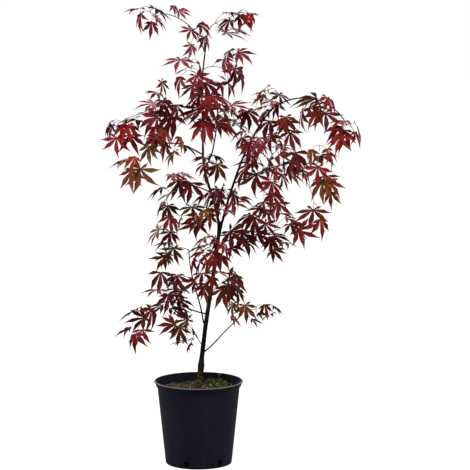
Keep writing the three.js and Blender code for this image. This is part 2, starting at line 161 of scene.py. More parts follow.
# the colours of the upper side, the tips of its lobes and the underside, for each tint
TINTS = {
    "crimson": ((0.290, 0.006, 0.008), (0.380, 0.016, 0.009), (0.330, 0.030, 0.036)),
    "scarlet": ((0.275, 0.015, 0.005), (0.370, 0.036, 0.008), (0.330, 0.045, 0.026)),
    "rose": ((0.205, 0.018, 0.030), (0.260, 0.028, 0.034), (0.280, 0.070, 0.085)),
    "burgundy": ((0.190, 0.009, 0.011), (0.250, 0.018, 0.010), (0.230, 0.028, 0.034)),
    "plum": ((0.110, 0.005, 0.007), (0.160, 0.009, 0.008), (0.150, 0.022, 0.028)),
    "rust": ((0.190, 0.015, 0.004), (0.260, 0.032, 0.006), (0.240, 0.042, 0.020)),
    "umber": ((0.120, 0.013, 0.004), (0.180, 0.028, 0.005), (0.160, 0.040, 0.020)),
    "amber": ((0.300, 0.043, 0.006), (0.390, 0.078, 0.008), (0.310, 0.085, 0.024)),
    "olive": ((0.150, 0.058, 0.008), (0.210, 0.085, 0.009), (0.200, 0.100, 0.030)),
}
# the red that some lobes of every leaf turn towards
BLUSH = (0.215, 0.010, 0.010)
# a leaf's darkest and lightest tone, as shares of its upper side's colour
DEEP_TONE, LIGHT_TONE = 0.22, 1.65
# leaves between these heights get painted shade, darker towards the lower one
LOWEST_LEAF, SUNNY_LEAF = 0.2, 0.6

# the pot: its lip, foot and shoulder, the flared band under the lip and the roll on top
POT_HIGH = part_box("pot")[1]
LIP_RADIUS = max(POT_HIGH.x, POT_HIGH.y)
POT_HEIGHT = POT_HIGH.z
FOOT_RADIUS = LIP_RADIUS - 24.6 * MM
SHOULDER_RADIUS = LIP_RADIUS - 7.2 * MM
BAND_RADIUS = LIP_RADIUS - 2.5 * MM
BAND_LOW = POT_HEIGHT - 14 * MM
ROLL_RADIUS = 2.1 * MM
POT_WALL = 1.8 * MM
POT_FLOOR = 3 * MM
POT_SECTORS = 128
# how far below its top the pot has painted shadow under its roll, and a painted highlight on the top of
# the roll, each as the two ends of a soft change
ROLL_SHADOW_START = (5.6 * MM, 4.4 * MM)
ROLL_SHADOW_END = (2.8 * MM, 1.8 * MM)
ROLL_HIGHLIGHT = (1.3 * MM, 0.5 * MM)

# the square drain holes low in the pot's wall
HOLE_COUNT = 6
FIRST_HOLE = math.radians(40 - 90)
HOLE_WIDTH = 12 * MM
HOLE_HEIGHT = 12 * MM
HOLE_FOOT = 5 * MM
HOLE_DEPTH = 14 * MM

# the compost: its edge lies a little below its highest point
SOIL_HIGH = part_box("soil")[1]
SOIL_RADIUS = SOIL_HIGH.x
SOIL_EDGE = SOIL_HIGH.z - 2.4 * MM
SOIL_RINGS = 44
SOIL_SECTORS = 110
# a mound in front, a hollow behind and a rise round the trunk: place, spread and height
MOUND = ((-0.046, -0.012), (0.026, 0.030), 5.6 * MM)
HOLLOW = ((-0.030, 0.052), (0.036, 0.022), 3.5 * MM)
TRUNK_RISE = ((0.002, 0.0), (0.020, 0.020), 3.2 * MM)
TRUNK_MOSS = ((0.002, 0.0), (0.014, 0.014), 0.8)
MOSS_RISE = 3.0 * MM

# ---------------------------------------------------------------- node wiring


class Wiring:
    """Adds nodes to a tree and joins their sockets."""

    def __init__(self, tree):
        self.tree = tree

    def add(self, kind, inputs=None, **settings):
        """A new node, with its inputs joined to sockets or set to values."""
        node = self.tree.nodes.new(kind)
        for name, value in settings.items():
            setattr(node, name, value)
        for key, value in (inputs or {}).items():
            if isinstance(value, bpy.types.NodeSocket):
                self.tree.links.new(value, node.inputs[key])
            else:
                node.inputs[key].default_value = value
        return node

    def feed(self, value, socket):
        """Joins an output to an input."""
        self.tree.links.new(value, socket)

    def math(self, operation, first, second=0.0):
        """The result of a sum on two values."""
        node = self.add("ShaderNodeMath", {0: first, 1: second}, operation=operation)
        return node.outputs[0]

    def scaled(self, value, factor, start=0.0):
        """start + value * factor."""
        return self.math("ADD", self.math("MULTIPLY", value, factor), start)

    def ramp(self, value, low, high):
        """0 below low, 1 above high, and smooth in between."""
        inputs = {"Value": value, "From Min": low, "From Max": high}
        node = self.add("ShaderNodeMapRange", inputs, interpolation_type="SMOOTHSTEP")
        return node.outputs["Result"]

    def below(self, value, low, high):
        """1 below low, 0 above high, and smooth in between."""
        return self.math("SUBTRACT", 1.0, self.ramp(value, low, high))

    def band(self, value, rise, fall):
        """1 between a rise and a fall, each given by its two ends, and 0 beyond them."""
        return self.math("MULTIPLY", self.ramp(value, *rise), self.below(value, *fall))

    def mix(self, share, first, second):
        """Mixes two colours."""
        inputs = {"Factor": share, 6: first, 7: second}
        node = self.add("ShaderNodeMix", inputs, data_type="RGBA")
        return node.outputs[2]

    def layered(self, colour, layers):
        """Lays colours over a first one, each with its mask and how strongly it shows."""
        for mask, strength, over in layers:
            colour = self.mix(self.math("MULTIPLY", mask, strength), colour, over)
        return colour


def opaque(colour):
    """A colour with nothing seen through it."""
    return (*colour, 1.0)


def open_group(name, kind, inputs, outputs):
    """A new node group with named sockets, and its wiring, inputs and output node."""
    group = bpy.data.node_groups.new(name, kind)
    for label, socket, default in inputs:
        made = group.interface.new_socket(label, in_out="INPUT", socket_type=socket)
        if default is not None:
            made.default_value = default
    for label, socket in outputs:
        group.interface.new_socket(label, in_out="OUTPUT", socket_type=socket)
    wiring = Wiring(group)
    given = wiring.add("NodeGroupInput").outputs
    result = wiring.add("NodeGroupOutput").inputs
    return group, wiring, given, result


# ---------------------------------------------------------------- effects shared by materials


def build_mottle():
    """Uneven colour: large clouds, fine grain, and a height for a bump."""
    inputs = (
        ("Cloud Size", "NodeSocketFloat", 20.0),
        ("Grain Size", "NodeSocketFloat", 300.0),
        ("Stretch", "NodeSocketVector", (1.0, 1.0, 1.0)),
    )
    outputs = (
        ("Clouds", "NodeSocketFloat"),
        ("Grain", "NodeSocketFloat"),
        ("Height", "NodeSocketFloat"),
    )
    group, w, given, result = open_group("mottle", "ShaderNodeTree", inputs, outputs)
    place = w.add("ShaderNodeTexCoord").outputs["Object"]
    stretched = w.add("ShaderNodeVectorMath", {0: place, 1: given["Stretch"]}, operation="MULTIPLY")
    stretched = stretched.outputs[0]
    cloud = w.add("ShaderNodeTexNoise", {"Vector": stretched, "Scale": given["Cloud Size"], "Detail": 4.0})
    grain = w.add("ShaderNodeTexNoise", {"Vector": stretched, "Scale": given["Grain Size"], "Detail": 3.0})
    clouds = w.ramp(cloud.outputs["Fac"], 0.32, 0.68)
    grains = w.ramp(grain.outputs["Fac"], 0.3, 0.7)
    w.feed(clouds, result["Clouds"])
    w.feed(grains, result["Grain"])
    w.feed(w.math("ADD", w.math("MULTIPLY", clouds, 0.5), grains), result["Height"])
    return group


def build_leaf_pattern():
    """The ribs, margin, tips and tone of a leaf and its lobes, from the leaf's attributes."""
    labels = ("Midrib", "Veins", "Margin", "Tip", "Tone", "Lobe")
    outputs = [(label, "NodeSocketFloat") for label in labels]
    group, w, _, result = open_group("leaf pattern", "ShaderNodeTree", (), outputs)
    blade = w.add("ShaderNodeAttribute", attribute_name="blade").outputs["Vector"]
    parts = w.add("ShaderNodeSeparateXYZ", {"Vector": blade}).outputs
    along, across, lobe_tone = parts["X"], parts["Y"], parts["Z"]
    leaf_tone = w.add("ShaderNodeAttribute", attribute_name="tone").outputs["Fac"]
    # the side veins run slanting out from the midrib, eleven to a lobe
    slant = w.math("SUBTRACT", w.math("MULTIPLY", along, 11.0), w.math("MULTIPLY", across, 1.3))
    w.feed(w.below(across, 0.02, 0.16), result["Midrib"])
    w.feed(w.below(w.math("PINGPONG", slant, 0.5), 0.03, 0.17), result["Veins"])
    w.feed(w.ramp(across, 0.72, 1.0), result["Margin"])
    w.feed(w.ramp(along, 0.3, 0.95), result["Tip"])
    tone = w.math("ADD", w.math("MULTIPLY", leaf_tone, 0.65), w.math("MULTIPLY", lobe_tone, 0.35))
    w.feed(tone, result["Tone"])
    w.feed(w.ramp(lobe_tone, 0.35, 0.8), result["Lobe"])
    return group


MOTTLE = build_mottle()
LEAF_PATTERN = build_leaf_pattern()


def place_mottle(w, cloud_size, grain_size, stretch=(1.0, 1.0, 1.0)):
    """Places the shared mottle in a material with its own sizes."""
    inputs = {"Cloud Size": cloud_size, "Grain Size": grain_size, "Stretch": stretch}
    return w.add("ShaderNodeGroup", inputs, node_tree=MOTTLE).outputs


def object_axis(w, axis):
    """How far a point of the object lies along an axis."""
    place = w.add("ShaderNodeTexCoord").outputs["Object"]
    return w.add("ShaderNodeSeparateXYZ", {"Vector": place}).outputs[axis]


def object_radius(w):
    """How far a point of the object lies from its upright middle line."""
    place = w.add("ShaderNodeTexCoord").outputs["Object"]
    flat = w.add("ShaderNodeVectorMath", {0: place, 1: (1.0, 1.0, 0.0)}, operation="MULTIPLY")
    return w.add("ShaderNodeVectorMath", {0: flat.outputs[0]}, operation="LENGTH").outputs["Value"]


# ---------------------------------------------------------------- materials


def new_material(name, roughness, specular=0.5):
    """A material with one Principled BSDF, and its wiring."""
    made = bpy.data.materials.new(name)
    made.use_nodes = True
    surface = made.node_tree.nodes["Principled BSDF"]
    surface.inputs["Roughness"].default_value = roughness
    surface.inputs["Specular IOR Level"].default_value = specular
    return made, Wiring(made.node_tree), surface


def bump(w, surface, height, strength, distance):
    """Feeds a height to the surface's normal."""
    inputs = {"Height": height, "Strength": strength, "Distance": distance}
    node = w.add("ShaderNodeBump", inputs)
    w.feed(node.outputs["Normal"], surface.inputs["Normal"])


def leaf_material(name, tint):
    """One tint of leaf: darker by the hub, brighter at the tips, with paler ribs and underside, and
    painted shade on the lower leaves.
    """
    made, w, surface = new_material(name, 0.45, specular=0.07)
    upper, tip, under = tint
    deep = opaque([c * DEEP_TONE for c in upper])
    light = opaque([c * LIGHT_TONE + 0.004 for c in upper])
    rib = opaque([c * 0.9 + 0.03 for c in under])
    pattern = w.add("ShaderNodeGroup", node_tree=LEAF_PATTERN).outputs
    patches = place_mottle(w, 60.0, 420.0)
    reddened = w.math("MULTIPLY", pattern["Lobe"], w.scaled(patches["Clouds"], 0.6, 0.2))
    # painted shade: leaves low in the crown are darkened as if shaded by the leaves above
    painted_low_shade = w.below(object_axis(w, "Z"), LOWEST_LEAF, SUNNY_LEAF)
    back = w.add("ShaderNodeNewGeometry").outputs["Backfacing"]
    layers = (
        (patches["Clouds"], 0.25, opaque(upper)),
        (pattern["Tip"], 0.55, opaque(tip)),
        (reddened, 1.0, opaque(BLUSH)),
        (pattern["Margin"], 0.4, deep),
        (painted_low_shade, 0.55, deep),
        (pattern["Midrib"], 0.5, rib),
        (pattern["Veins"], 0.22, rib),
        (back, 0.8, opaque(under)),
    )
    colour = w.layered(w.mix(pattern["Tone"], deep, light), layers)
    w.feed(colour, surface.inputs["Base Color"])
    w.feed(w.scaled(patches["Grain"], 0.14, 0.30), surface.inputs["Roughness"])
    raised = w.math("ADD", pattern["Midrib"], w.math("MULTIPLY", pattern["Veins"], 0.5))
    raised = w.math("ADD", raised, w.math("MULTIPLY", patches["Grain"], 0.3))
    bump(w, surface, raised, 0.5, 0.6 * MM)
    return made


def stalk_material():
    """Leaf stalks: thin and red, browner in places."""
    made, w, surface = new_material("leaf_stalk", 0.4)
    patches = place_mottle(w, 60.0, 500.0)
    colour = w.mix(patches["Clouds"], opaque((0.17, 0.022, 0.026)), opaque((0.11, 0.045, 0.022)))
    w.feed(colour, surface.inputs["Base Color"])
    bump(w, surface, patches["Grain"], 0.2, 0.2 * MM)
    return made


def bark_colour(w, patches):
    """Purple-black on thin wood and brown-black on thick wood, with paler pores."""
    thick = w.add("ShaderNodeAttribute", attribute_name="thickness").outputs["Fac"]
    old = w.ramp(thick, 1.5 * MM, 5.0 * MM)
    young = w.mix(patches["Clouds"], opaque((0.004, 0.0025, 0.003)), opaque((0.013, 0.006, 0.005)))
    aged = w.mix(patches["Clouds"], opaque((0.004, 0.0028, 0.002)), opaque((0.022, 0.013, 0.008)))
    place = w.add("ShaderNodeTexCoord").outputs["Object"]
    pores = w.add("ShaderNodeTexVoronoi", {"Vector": place, "Scale": 420.0})
    pore = w.below(pores.outputs["Distance"], 0.12, 0.26)
    return w.layered(w.mix(old, young, aged), [(pore, 0.3, opaque((0.055, 0.038, 0.026)))])


def trunk_moss(w):
    """The mask and the colour of the moss on the trunk, just above the soil."""
    foot = SOIL_HIGH.z
    rise = (foot - 1 * MM, foot + 9 * MM)
    fall = (foot + 20 * MM, foot + 46 * MM)
    cushions = place_mottle(w, 150.0, 620.0)
    patchy = w.ramp(cushions["Clouds"], 0.12, 0.5)
    mossy = w.math("MULTIPLY", w.band(object_axis(w, "Z"), rise, fall), patchy)
    specks = w.ramp(cushions["Grain"], 0.45, 1.0)
    return mossy, w.mix(specks, opaque((0.006, 0.009, 0.002)), opaque((0.230, 0.245, 0.045)))


def bark_material():
    """Dark young bark, with pale pores, and moss near the soil."""
    made, w, surface = new_material("young_bark", 0.55, specular=0.1)
    patches = place_mottle(w, 55.0, 420.0, (1.0, 1.0, 0.28))
    mossy, green = trunk_moss(w)
    colour = w.layered(bark_colour(w, patches), [(mossy, 0.9, green)])
    w.feed(colour, surface.inputs["Base Color"])
    w.feed(w.scaled(patches["Grain"], 0.2, 0.42), surface.inputs["Roughness"])
    bump(w, surface, patches["Height"], 0.6, 0.5 * MM)
    return made


def below_top(depths):
    """The heights that lie so far below the pot's top."""
    return [POT_HEIGHT - depth for depth in depths]


def inner_wall(w, height):
    """A mask of the pot's inside: 1 nearer the middle line than the middle of its wall."""
    slope = (SHOULDER_RADIUS - FOOT_RADIUS) / BAND_LOW
    body = w.scaled(height, slope, FOOT_RADIUS - 0.95 * MM)
    band = w.scaled(height, 0.5, LIP_RADIUS - 7.5 * MM - 0.5 * BAND_LOW)
    wall = w.math("MINIMUM", w.math("MAXIMUM", body, band), LIP_RADIUS - 3.0 * MM)
    return w.ramp(w.math("SUBTRACT", wall, object_radius(w)), -0.25 * MM, 0.25 * MM)


def pot_material():
    """Satin blue-black moulded plastic: scuffs, drawn-down streaks, a painted highlight on the roll, and
    painted shade inside, under the roll and at the foot.
    """
    made, w, surface = new_material("pot_plastic", 0.4, specular=0.34)
    surface.inputs["Specular Tint"].default_value = opaque((0.68, 0.66, 1.0))
    patches = place_mottle(w, 14.0, 900.0, (1.0, 1.0, 0.5))
    streaks = place_mottle(w, 60.0, 240.0, (1.0, 1.0, 0.05))
    height = object_axis(w, "Z")
    inside = inner_wall(w, height)
    # painted shadow at the foot, darker towards the floor
    foot = w.below(height, 1.6 * MM, 4.6 * MM)
    # painted shadow in a line under the roll
    painted_roll_shadow = w.band(height, below_top(ROLL_SHADOW_START), below_top(ROLL_SHADOW_END))
    # painted shade: the inside, the line under the roll and the foot are all laid on as near black
    painted_shade = w.math("MAXIMUM", w.math("MAXIMUM", inside, painted_roll_shadow), foot)
    outside = w.math("SUBTRACT", 1.0, inside)
    # painted highlight along the outer top of the roll, broken up by grain
    roll = w.math("MULTIPLY", w.ramp(height, *below_top(ROLL_HIGHLIGHT)), outside)
    painted_roll_highlight = w.math("MULTIPLY", roll, w.scaled(patches["Grain"], 0.5, 0.45))
    plastic = w.mix(patches["Clouds"], opaque((0.0064, 0.0062, 0.0112)), opaque((0.0088, 0.0084, 0.0150)))
    layers = (
        (streaks["Clouds"], 0.2, opaque((0.012, 0.013, 0.020))),
        (painted_shade, 1.0, opaque((0.0012, 0.0009, 0.0016))),
        (painted_roll_highlight, 1.0, opaque((0.210, 0.205, 0.255))),
    )
    w.feed(w.layered(plastic, layers), surface.inputs["Base Color"])
    worn = w.scaled(streaks["Clouds"], 0.07, 0.34)
    worn = w.scaled(patches["Clouds"], 0.08, worn)
    worn = w.scaled(inside, 0.55, worn)
    w.feed(worn, surface.inputs["Roughness"])
    bump(w, surface, w.scaled(streaks["Clouds"], 0.6, patches["Grain"]), 0.12, 0.3 * MM)
    return made


def soil_material(name, dark, light, fleck):
    """Damp potting compost: dark fibres and paler crumbs, with painted shade under moss, towards the back,
    at its edge and low down.
    """
    made, w, surface = new_material(name, 0.85, specular=0.12)
    patches = place_mottle(w, 70.0, 900.0)
    fine = place_mottle(w, 260.0, 2400.0)
    mossy = w.add("ShaderNodeAttribute", attribute_name="moss").outputs["Fac"]
    # painted shade towards the back, at the edge by the wall, and low down where the drain holes show the
    # compost
    painted_back_shade = w.ramp(object_axis(w, "Y"), 8 * MM, 42 * MM)
    edge = w.ramp(object_radius(w), SOIL_RADIUS * 0.78, SOIL_RADIUS * 0.91)
    buried = w.below(object_axis(w, "Z"), SOIL_EDGE - 14 * MM, SOIL_EDGE - 7 * MM)
    layers = (
        (w.ramp(fine["Clouds"], 0.72, 0.95), 0.6, opaque(fleck)),
        # painted shade under and between the moss
        (mossy, 0.85, opaque((0.004, 0.005, 0.002))),
        (painted_back_shade, 0.8, opaque(dark)),
        (w.math("MAXIMUM", edge, buried), 1.0, opaque((0.0012, 0.0010, 0.0010))),
    )
    colour = w.layered(w.mix(patches["Clouds"], opaque(dark), opaque(light)), layers)
    w.feed(colour, surface.inputs["Base Color"])
    w.feed(w.scaled(fine["Grain"], 0.15, 0.78), surface.inputs["Roughness"])
    bump(w, surface, fine["Height"], 0.9, 1.2 * MM)
    return made


def moss_material():
    """Moss in dark cushions, with bright green tips here and there."""
    made, w, surface = new_material("moss_green", 0.8, specular=0.1)
    patches = place_mottle(w, 190.0, 800.0)
    bright = w.math("MULTIPLY", patches["Clouds"], patches["Grain"])
    colour = w.mix(bright, opaque((0.003, 0.005, 0.001)), opaque((0.330, 0.370, 0.075)))
    w.feed(colour, surface.inputs["Base Color"])
    bump(w, surface, patches["Grain"], 0.3, 0.4 * MM)
    return made


def litter_material(name, dark, light, roughness):
    """Small growth and litter: seedlings, dry straw and husks take their own colours."""
    made, w, surface = new_material(name, roughness, specular=0.15)
    patches = place_mottle(w, 120.0, 900.0)
    w.feed(w.mix(patches["Clouds"], opaque(dark), opaque(light)), surface.inputs["Base Color"])
    bump(w, surface, patches["Grain"], 0.3, 0.4 * MM)
    return made


# ---------------------------------------------------------------- geometry trees


def run_tree(source, tree, settings):
    """Runs a geometry tree on an object, and gives the result as a plain mesh."""
    modifier = source.modifiers.new(tree.name, "NODES")
    modifier.node_group = tree
    for item in tree.interface.items_tree:
        if item.in_out == "INPUT" and item.name in settings:
            modifier[item.identifier] = settings[item.name]
    depsgraph = bpy.context.evaluated_depsgraph_get()
    evaluated = source.evaluated_get(depsgraph)
    mesh = bpy.data.meshes.new_from_object(
        evaluated, preserve_all_data_layers=True, depsgraph=depsgraph
    )
    source.modifiers.remove(modifier)
    return mesh


def named_attribute(w, name, kind):
    """The values that a mesh stores under a name."""
    node = w.add("GeometryNodeInputNamedAttribute", {"Name": name}, data_type=kind)
    return node.outputs["Attribute"]


def chosen_shapes(w, collection):
    """The shapes of a collection, to be picked from one by one."""
    inputs = {"Collection": collection, "Separate Children": True, "Reset Children": True}
    return w.add("GeometryNodeCollectionInfo", inputs).outputs["Instances"]


def end_tree(w, geometry, material, socket):
    """Makes instances real, gives the whole its material and puts it out."""
    real = w.add("GeometryNodeRealizeInstances", {"Geometry": geometry})
    inputs = {"Geometry": real.outputs[0], "Material": material}
    painted = w.add("GeometryNodeSetMaterial", inputs)
    w.feed(painted.outputs[0], socket)


def bark_relief(w, given, thick):
    """How bark moves in or out: drawn out along the stem, and shallower on thin wood."""
    place = w.add("GeometryNodeInputPosition").outputs["Position"]
    drawn = w.add("ShaderNodeVectorMath", {0: place, 1: (1.0, 1.0, 0.35)}, operation="MULTIPLY")
    rough = w.add(
        "ShaderNodeTexNoise",
        {"Vector": drawn.outputs[0], "Scale": given["Relief Size"], "Detail": 3.0},
    )
    centred = w.math("SUBTRACT", rough.outputs["Fac"], 0.5)
    depth = w.math("MULTIPLY", w.math("MULTIPLY", centred, given["Relief"]), thick)
    normal = w.add("GeometryNodeInputNormal").outputs["Normal"]
    return w.add("ShaderNodeVectorMath", {0: normal, "Scale": depth}, operation="SCALE").outputs[0]


def build_sweep_tree():
    """Sweeps a round section along lines, as thick as they say, with bark relief."""
    inputs = (
        ("Lines", "NodeSocketGeometry", None),
        ("Sides", "NodeSocketInt", 8),
        ("Relief", "NodeSocketFloat", 0.1),
        ("Relief Size", "NodeSocketFloat", 160.0),
        ("Material", "NodeSocketMaterial", None),
    )
    tree, w, given, result = open_group(
        "sweep stems", "GeometryNodeTree", inputs, (("Stems", "NodeSocketGeometry"),)
    )
    thick = named_attribute(w, "thickness", "FLOAT")
    curve = w.add("GeometryNodeMeshToCurve", {"Mesh": given["Lines"]})
    section = w.add("GeometryNodeCurvePrimitiveCircle", {"Resolution": given["Sides"], "Radius": 1.0})
    swept = w.add(
        "GeometryNodeCurveToMesh",
        {
            "Curve": curve.outputs["Curve"],
            "Profile Curve": section.outputs["Curve"],
            "Scale": thick,
            "Fill Caps": True,
        },
    )
    moved = w.add(
        "GeometryNodeSetPosition",
        {"Geometry": swept.outputs["Mesh"], "Offset": bark_relief(w, given, thick)},
    )
    smooth = w.add("GeometryNodeSetShadeSmooth", {"Geometry": moved.outputs[0]})
    end_tree(w, smooth.outputs[0], given["Material"], result["Stems"])
    return tree


def build_hang_tree():
    """Hangs a chosen shape at every point, turned and sized as the point says."""
    inputs = (
        ("Points", "NodeSocketGeometry", None),
        ("Shapes", "NodeSocketCollection", None),
        ("Material", "NodeSocketMaterial", None),
    )
    tree, w, given, result = open_group(
        "hang leaves", "GeometryNodeTree", inputs, (("Leaves", "NodeSocketGeometry"),)
    )
    turn = named_attribute(w, "turn", "FLOAT_VECTOR")
    hung = w.add(
        "GeometryNodeInstanceOnPoints",
        {
            "Points": given["Points"],
            "Instance": chosen_shapes(w, given["Shapes"]),
            "Pick Instance": True,
            "Instance Index": named_attribute(w, "shape", "INT"),
            "Rotation": w.add("FunctionNodeEulerToRotation", {"Euler": turn}).outputs["Rotation"],
            "Scale": named_attribute(w, "size", "FLOAT_VECTOR"),
        },
    )
    end_tree(w, hung.outputs["Instances"], given["Material"], result["Leaves"])
    return tree


def chance_turn(w, tumble, seed):
    """Tips pieces over by up to the tumble, and turns them any way round."""
    most = w.add("ShaderNodeCombineXYZ", {"X": tumble, "Y": tumble, "Z": 3.14}).outputs[0]
    least = w.add("ShaderNodeVectorMath", {0: most, "Scale": -1.0}, operation="SCALE").outputs[0]
    turn = w.add(
        "FunctionNodeRandomValue",
        {0: least, 1: most, "Seed": seed},
        data_type="FLOAT_VECTOR",
    )
    return w.add("FunctionNodeEulerToRotation", {"Euler": turn.outputs[0]}).outputs["Rotation"]


def chance_size(w, given):
    """A size between the smallest and the largest."""
    node = w.add(
        "FunctionNodeRandomValue",
        {2: given["Smallest"], 3: given["Largest"], "Seed": given["Seed"]},
        data_type="FLOAT",
    )
    return node.outputs[1]


def build_scatter_tree():
    """Scatters a chosen shape over a surface, as thickly as its cover says."""
    inputs = (
        ("Surface", "NodeSocketGeometry", None),
        ("Shapes", "NodeSocketCollection", None),
        ("Density", "NodeSocketFloat", 1000.0),
        ("Cover", "NodeSocketString", ""),
        ("Smallest", "NodeSocketFloat", 0.5),
        ("Largest", "NodeSocketFloat", 1.0),
        ("Tumble", "NodeSocketFloat", 3.0),
        ("Seed", "NodeSocketInt", 0),
        ("Material", "NodeSocketMaterial", None),
    )
    tree, w, given, result = open_group(
        "scatter", "GeometryNodeTree", inputs, (("Pieces", "NodeSocketGeometry"),)
    )
    cover = named_attribute(w, given["Cover"], "FLOAT")
    spread = w.add(
        "GeometryNodeDistributePointsOnFaces",
        {
            "Mesh": given["Surface"],
            "Density": w.math("MULTIPLY", cover, given["Density"]),
            "Seed": given["Seed"],
        },
        distribute_method="RANDOM",
    )
    put = w.add(
        "GeometryNodeInstanceOnPoints",
        {
            "Points": spread.outputs["Points"],
            "Instance": chosen_shapes(w, given["Shapes"]),
            "Pick Instance": True,
            "Rotation": chance_turn(w, given["Tumble"], given["Seed"]),
            "Scale": chance_size(w, given),
        },
    )
    end_tree(w, put.outputs["Instances"], given["Material"], result["Pieces"])
    return tree


def ring_of_holes(w, given):
    """The middle of every hole, evenly spaced in a ring, and how the hole is turned."""
    number = w.add("GeometryNodeInputIndex").outputs[0]
    step = w.math("DIVIDE", math.tau, given["Count"])
    angle = w.scaled(number, step, given["First Angle"])
    x = w.math("MULTIPLY", w.math("COSINE", angle), given["Radius"])
    y = w.math("MULTIPLY", w.math("SINE", angle), given["Radius"])
    middle = w.scaled(given["Height"], 0.5, given["Foot"])
    spot = w.add("ShaderNodeCombineXYZ", {"X": x, "Y": y, "Z": middle})
    points = w.add("GeometryNodePoints", {"Count": given["Count"], "Position": spot.outputs[0]})
    turn = w.add("ShaderNodeCombineXYZ", {"X": 0.0, "Y": 0.0, "Z": angle})
    turned = w.add("FunctionNodeEulerToRotation", {"Euler": turn.outputs[0]})
    return points.outputs[0], turned.outputs["Rotation"]


def build_hole_tree():
    """Cuts a ring of square drain holes through the wall at the foot of a pot."""
    inputs = (
        ("Pot", "NodeSocketGeometry", None),
        ("Count", "NodeSocketInt", 6),
        ("Radius", "NodeSocketFloat", 0.07),
        ("First Angle", "NodeSocketFloat", 0.0),
        ("Width", "NodeSocketFloat", 0.01),
        ("Depth", "NodeSocketFloat", 0.012),
        ("Height", "NodeSocketFloat", 0.01),
        ("Foot", "NodeSocketFloat", 0.005),
        ("Material", "NodeSocketMaterial", None),
    )
    tree, w, given, result = open_group(
        "drain holes", "GeometryNodeTree", inputs, (("Pot", "NodeSocketGeometry"),)
    )
    size = w.add(
        "ShaderNodeCombineXYZ",
        {"X": given["Depth"], "Y": given["Width"], "Z": given["Height"]},
    )
    cutter = w.add("GeometryNodeMeshCube", {"Size": size.outputs[0]})
    points, rotation = ring_of_holes(w, given)
    ring = w.add(
        "GeometryNodeInstanceOnPoints",
        {"Points": points, "Instance": cutter.outputs["Mesh"], "Rotation": rotation},
    )
    cutters = w.add("GeometryNodeRealizeInstances", {"Geometry": ring.outputs["Instances"]})
    cut = w.add(
        "GeometryNodeMeshBoolean",
        {"Mesh 1": given["Pot"], "Mesh 2": cutters.outputs[0]},
        operation="DIFFERENCE",
        solver="EXACT",
    )
    end_tree(w, cut.outputs["Mesh"], given["Material"], result["Pot"])
    return tree


# ---------------------------------------------------------------- meshes and pieces


def mesh_object(name, verts, faces=(), edges=()):
    """A plain mesh object, linked to the scene while it is worked on."""
    mesh = bpy.data.meshes.new(name)
    mesh.from_pydata([tuple(v) for v in verts], edges, faces)
    mesh.update()
    made = bpy.data.objects.new(name, mesh)
    bpy.context.scene.collection.objects.link(made)
    return made


def attribute(mesh, name, kind, domain, values):
    """Stores one value for each point or edge of a mesh."""
    made = mesh.attributes.new(name, kind, domain)
    key = "vector" if kind == "FLOAT_VECTOR" else "value"
    dtype = {"INT": np.int32, "BOOLEAN": bool}.get(kind, np.float32)
    made.data.foreach_set(key, np.asarray(values, dtype).ravel())


def shade_smooth(mesh):
    """Lets light run smoothly over all faces of a mesh."""
    mesh.polygons.foreach_set("use_smooth", [True] * len(mesh.polygons))


def merged_shell(node):
    """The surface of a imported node, with the points of neighbouring faces joined."""
    shell = bmesh.new()
    shell.from_mesh(node.data)
    bmesh.ops.remove_doubles(shell, verts=shell.verts, dist=CAD_MERGE)
    return shell


def discard(made):
    """Removes a working object and its mesh."""
    mesh = made.data
    bpy.data.objects.remove(made)
    if mesh.users == 0:
        bpy.data.meshes.remove(mesh)


def finished(name, mesh, nodes=()):
    """A finished piece in the shared frame, riding on the body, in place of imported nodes."""
    mesh.name = name
    made = bpy.data.objects.new(name, mesh)
    bpy.context.scene.collection.objects.link(made)
    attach(made, BODY)
    if nodes:
        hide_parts(*nodes)


def shape_collection(name, shapes):
    """A collection of working shapes, in the order of their names."""
    made = bpy.data.collections.new(name)
    for number, (verts, faces) in enumerate(shapes):
        shape = mesh_object(f"{name}_{number:02d}", verts, faces)
        bpy.context.scene.collection.objects.unlink(shape)
        made.objects.link(shape)
    return made


# ---------------------------------------------------------------- limbs

# packed limbs are seven-sided, with one point in the middle of each end
LIMB_SIDES = 7
LINE_PARTS = 6
# a limb is this much thicker where it leaves its bearer, and for how many of its own widths
COLLAR = 1.5
COLLAR_REACH = 2.6
# the trunk starts this far down in the soil, and is this much thicker where it leaves it
TRUNK_SUNK = 4 * MM
FLARE = 0.12
FLARE_HEIGHT = 24 * MM


def packed_line(node):
    """The centre line and thickness of a packed limb, from its first end to its last."""
    shell = merged_shell(node)
    ends = [v for v in shell.verts if len(v.link_edges) == LIMB_SIDES]
    seen, ring, rings = {ends[0]}, [ends[0]], []
    while ring:
        rings.append([np.array(v.co) for v in ring])
        following = []
        for v in ring:
            for edge in v.link_edges:
                other = edge.other_vert(v)
                if other not in seen:
                    seen.add(other)
                    following.append(other)
        ring = following
    shell.free()
    whole = [r for r in rings if len(r) == LIMB_SIDES]
    centres = np.array([np.mean(r, axis=0) for r in whole])
    sizes = np.array([np.mean(np.linalg.norm(r - c, axis=1)) for r, c in zip(whole, centres)])
    return centres, sizes


def nearest_on(line, point):
    """The nearest point of a line to a point, and its place along the line."""
    starts, ends = line[:-1], line[1:]
    spans = ends - starts
    lengths = np.maximum(np.einsum("ij,ij->i", spans, spans), 1e-12)
    shares = np.clip(np.einsum("ij,ij->i", point - starts, spans) / lengths, 0, 1)
    points = starts + spans * shares[:, None]
    index = int(np.argmin(np.linalg.norm(points - point, axis=1)))
    return points[index], index + shares[index]


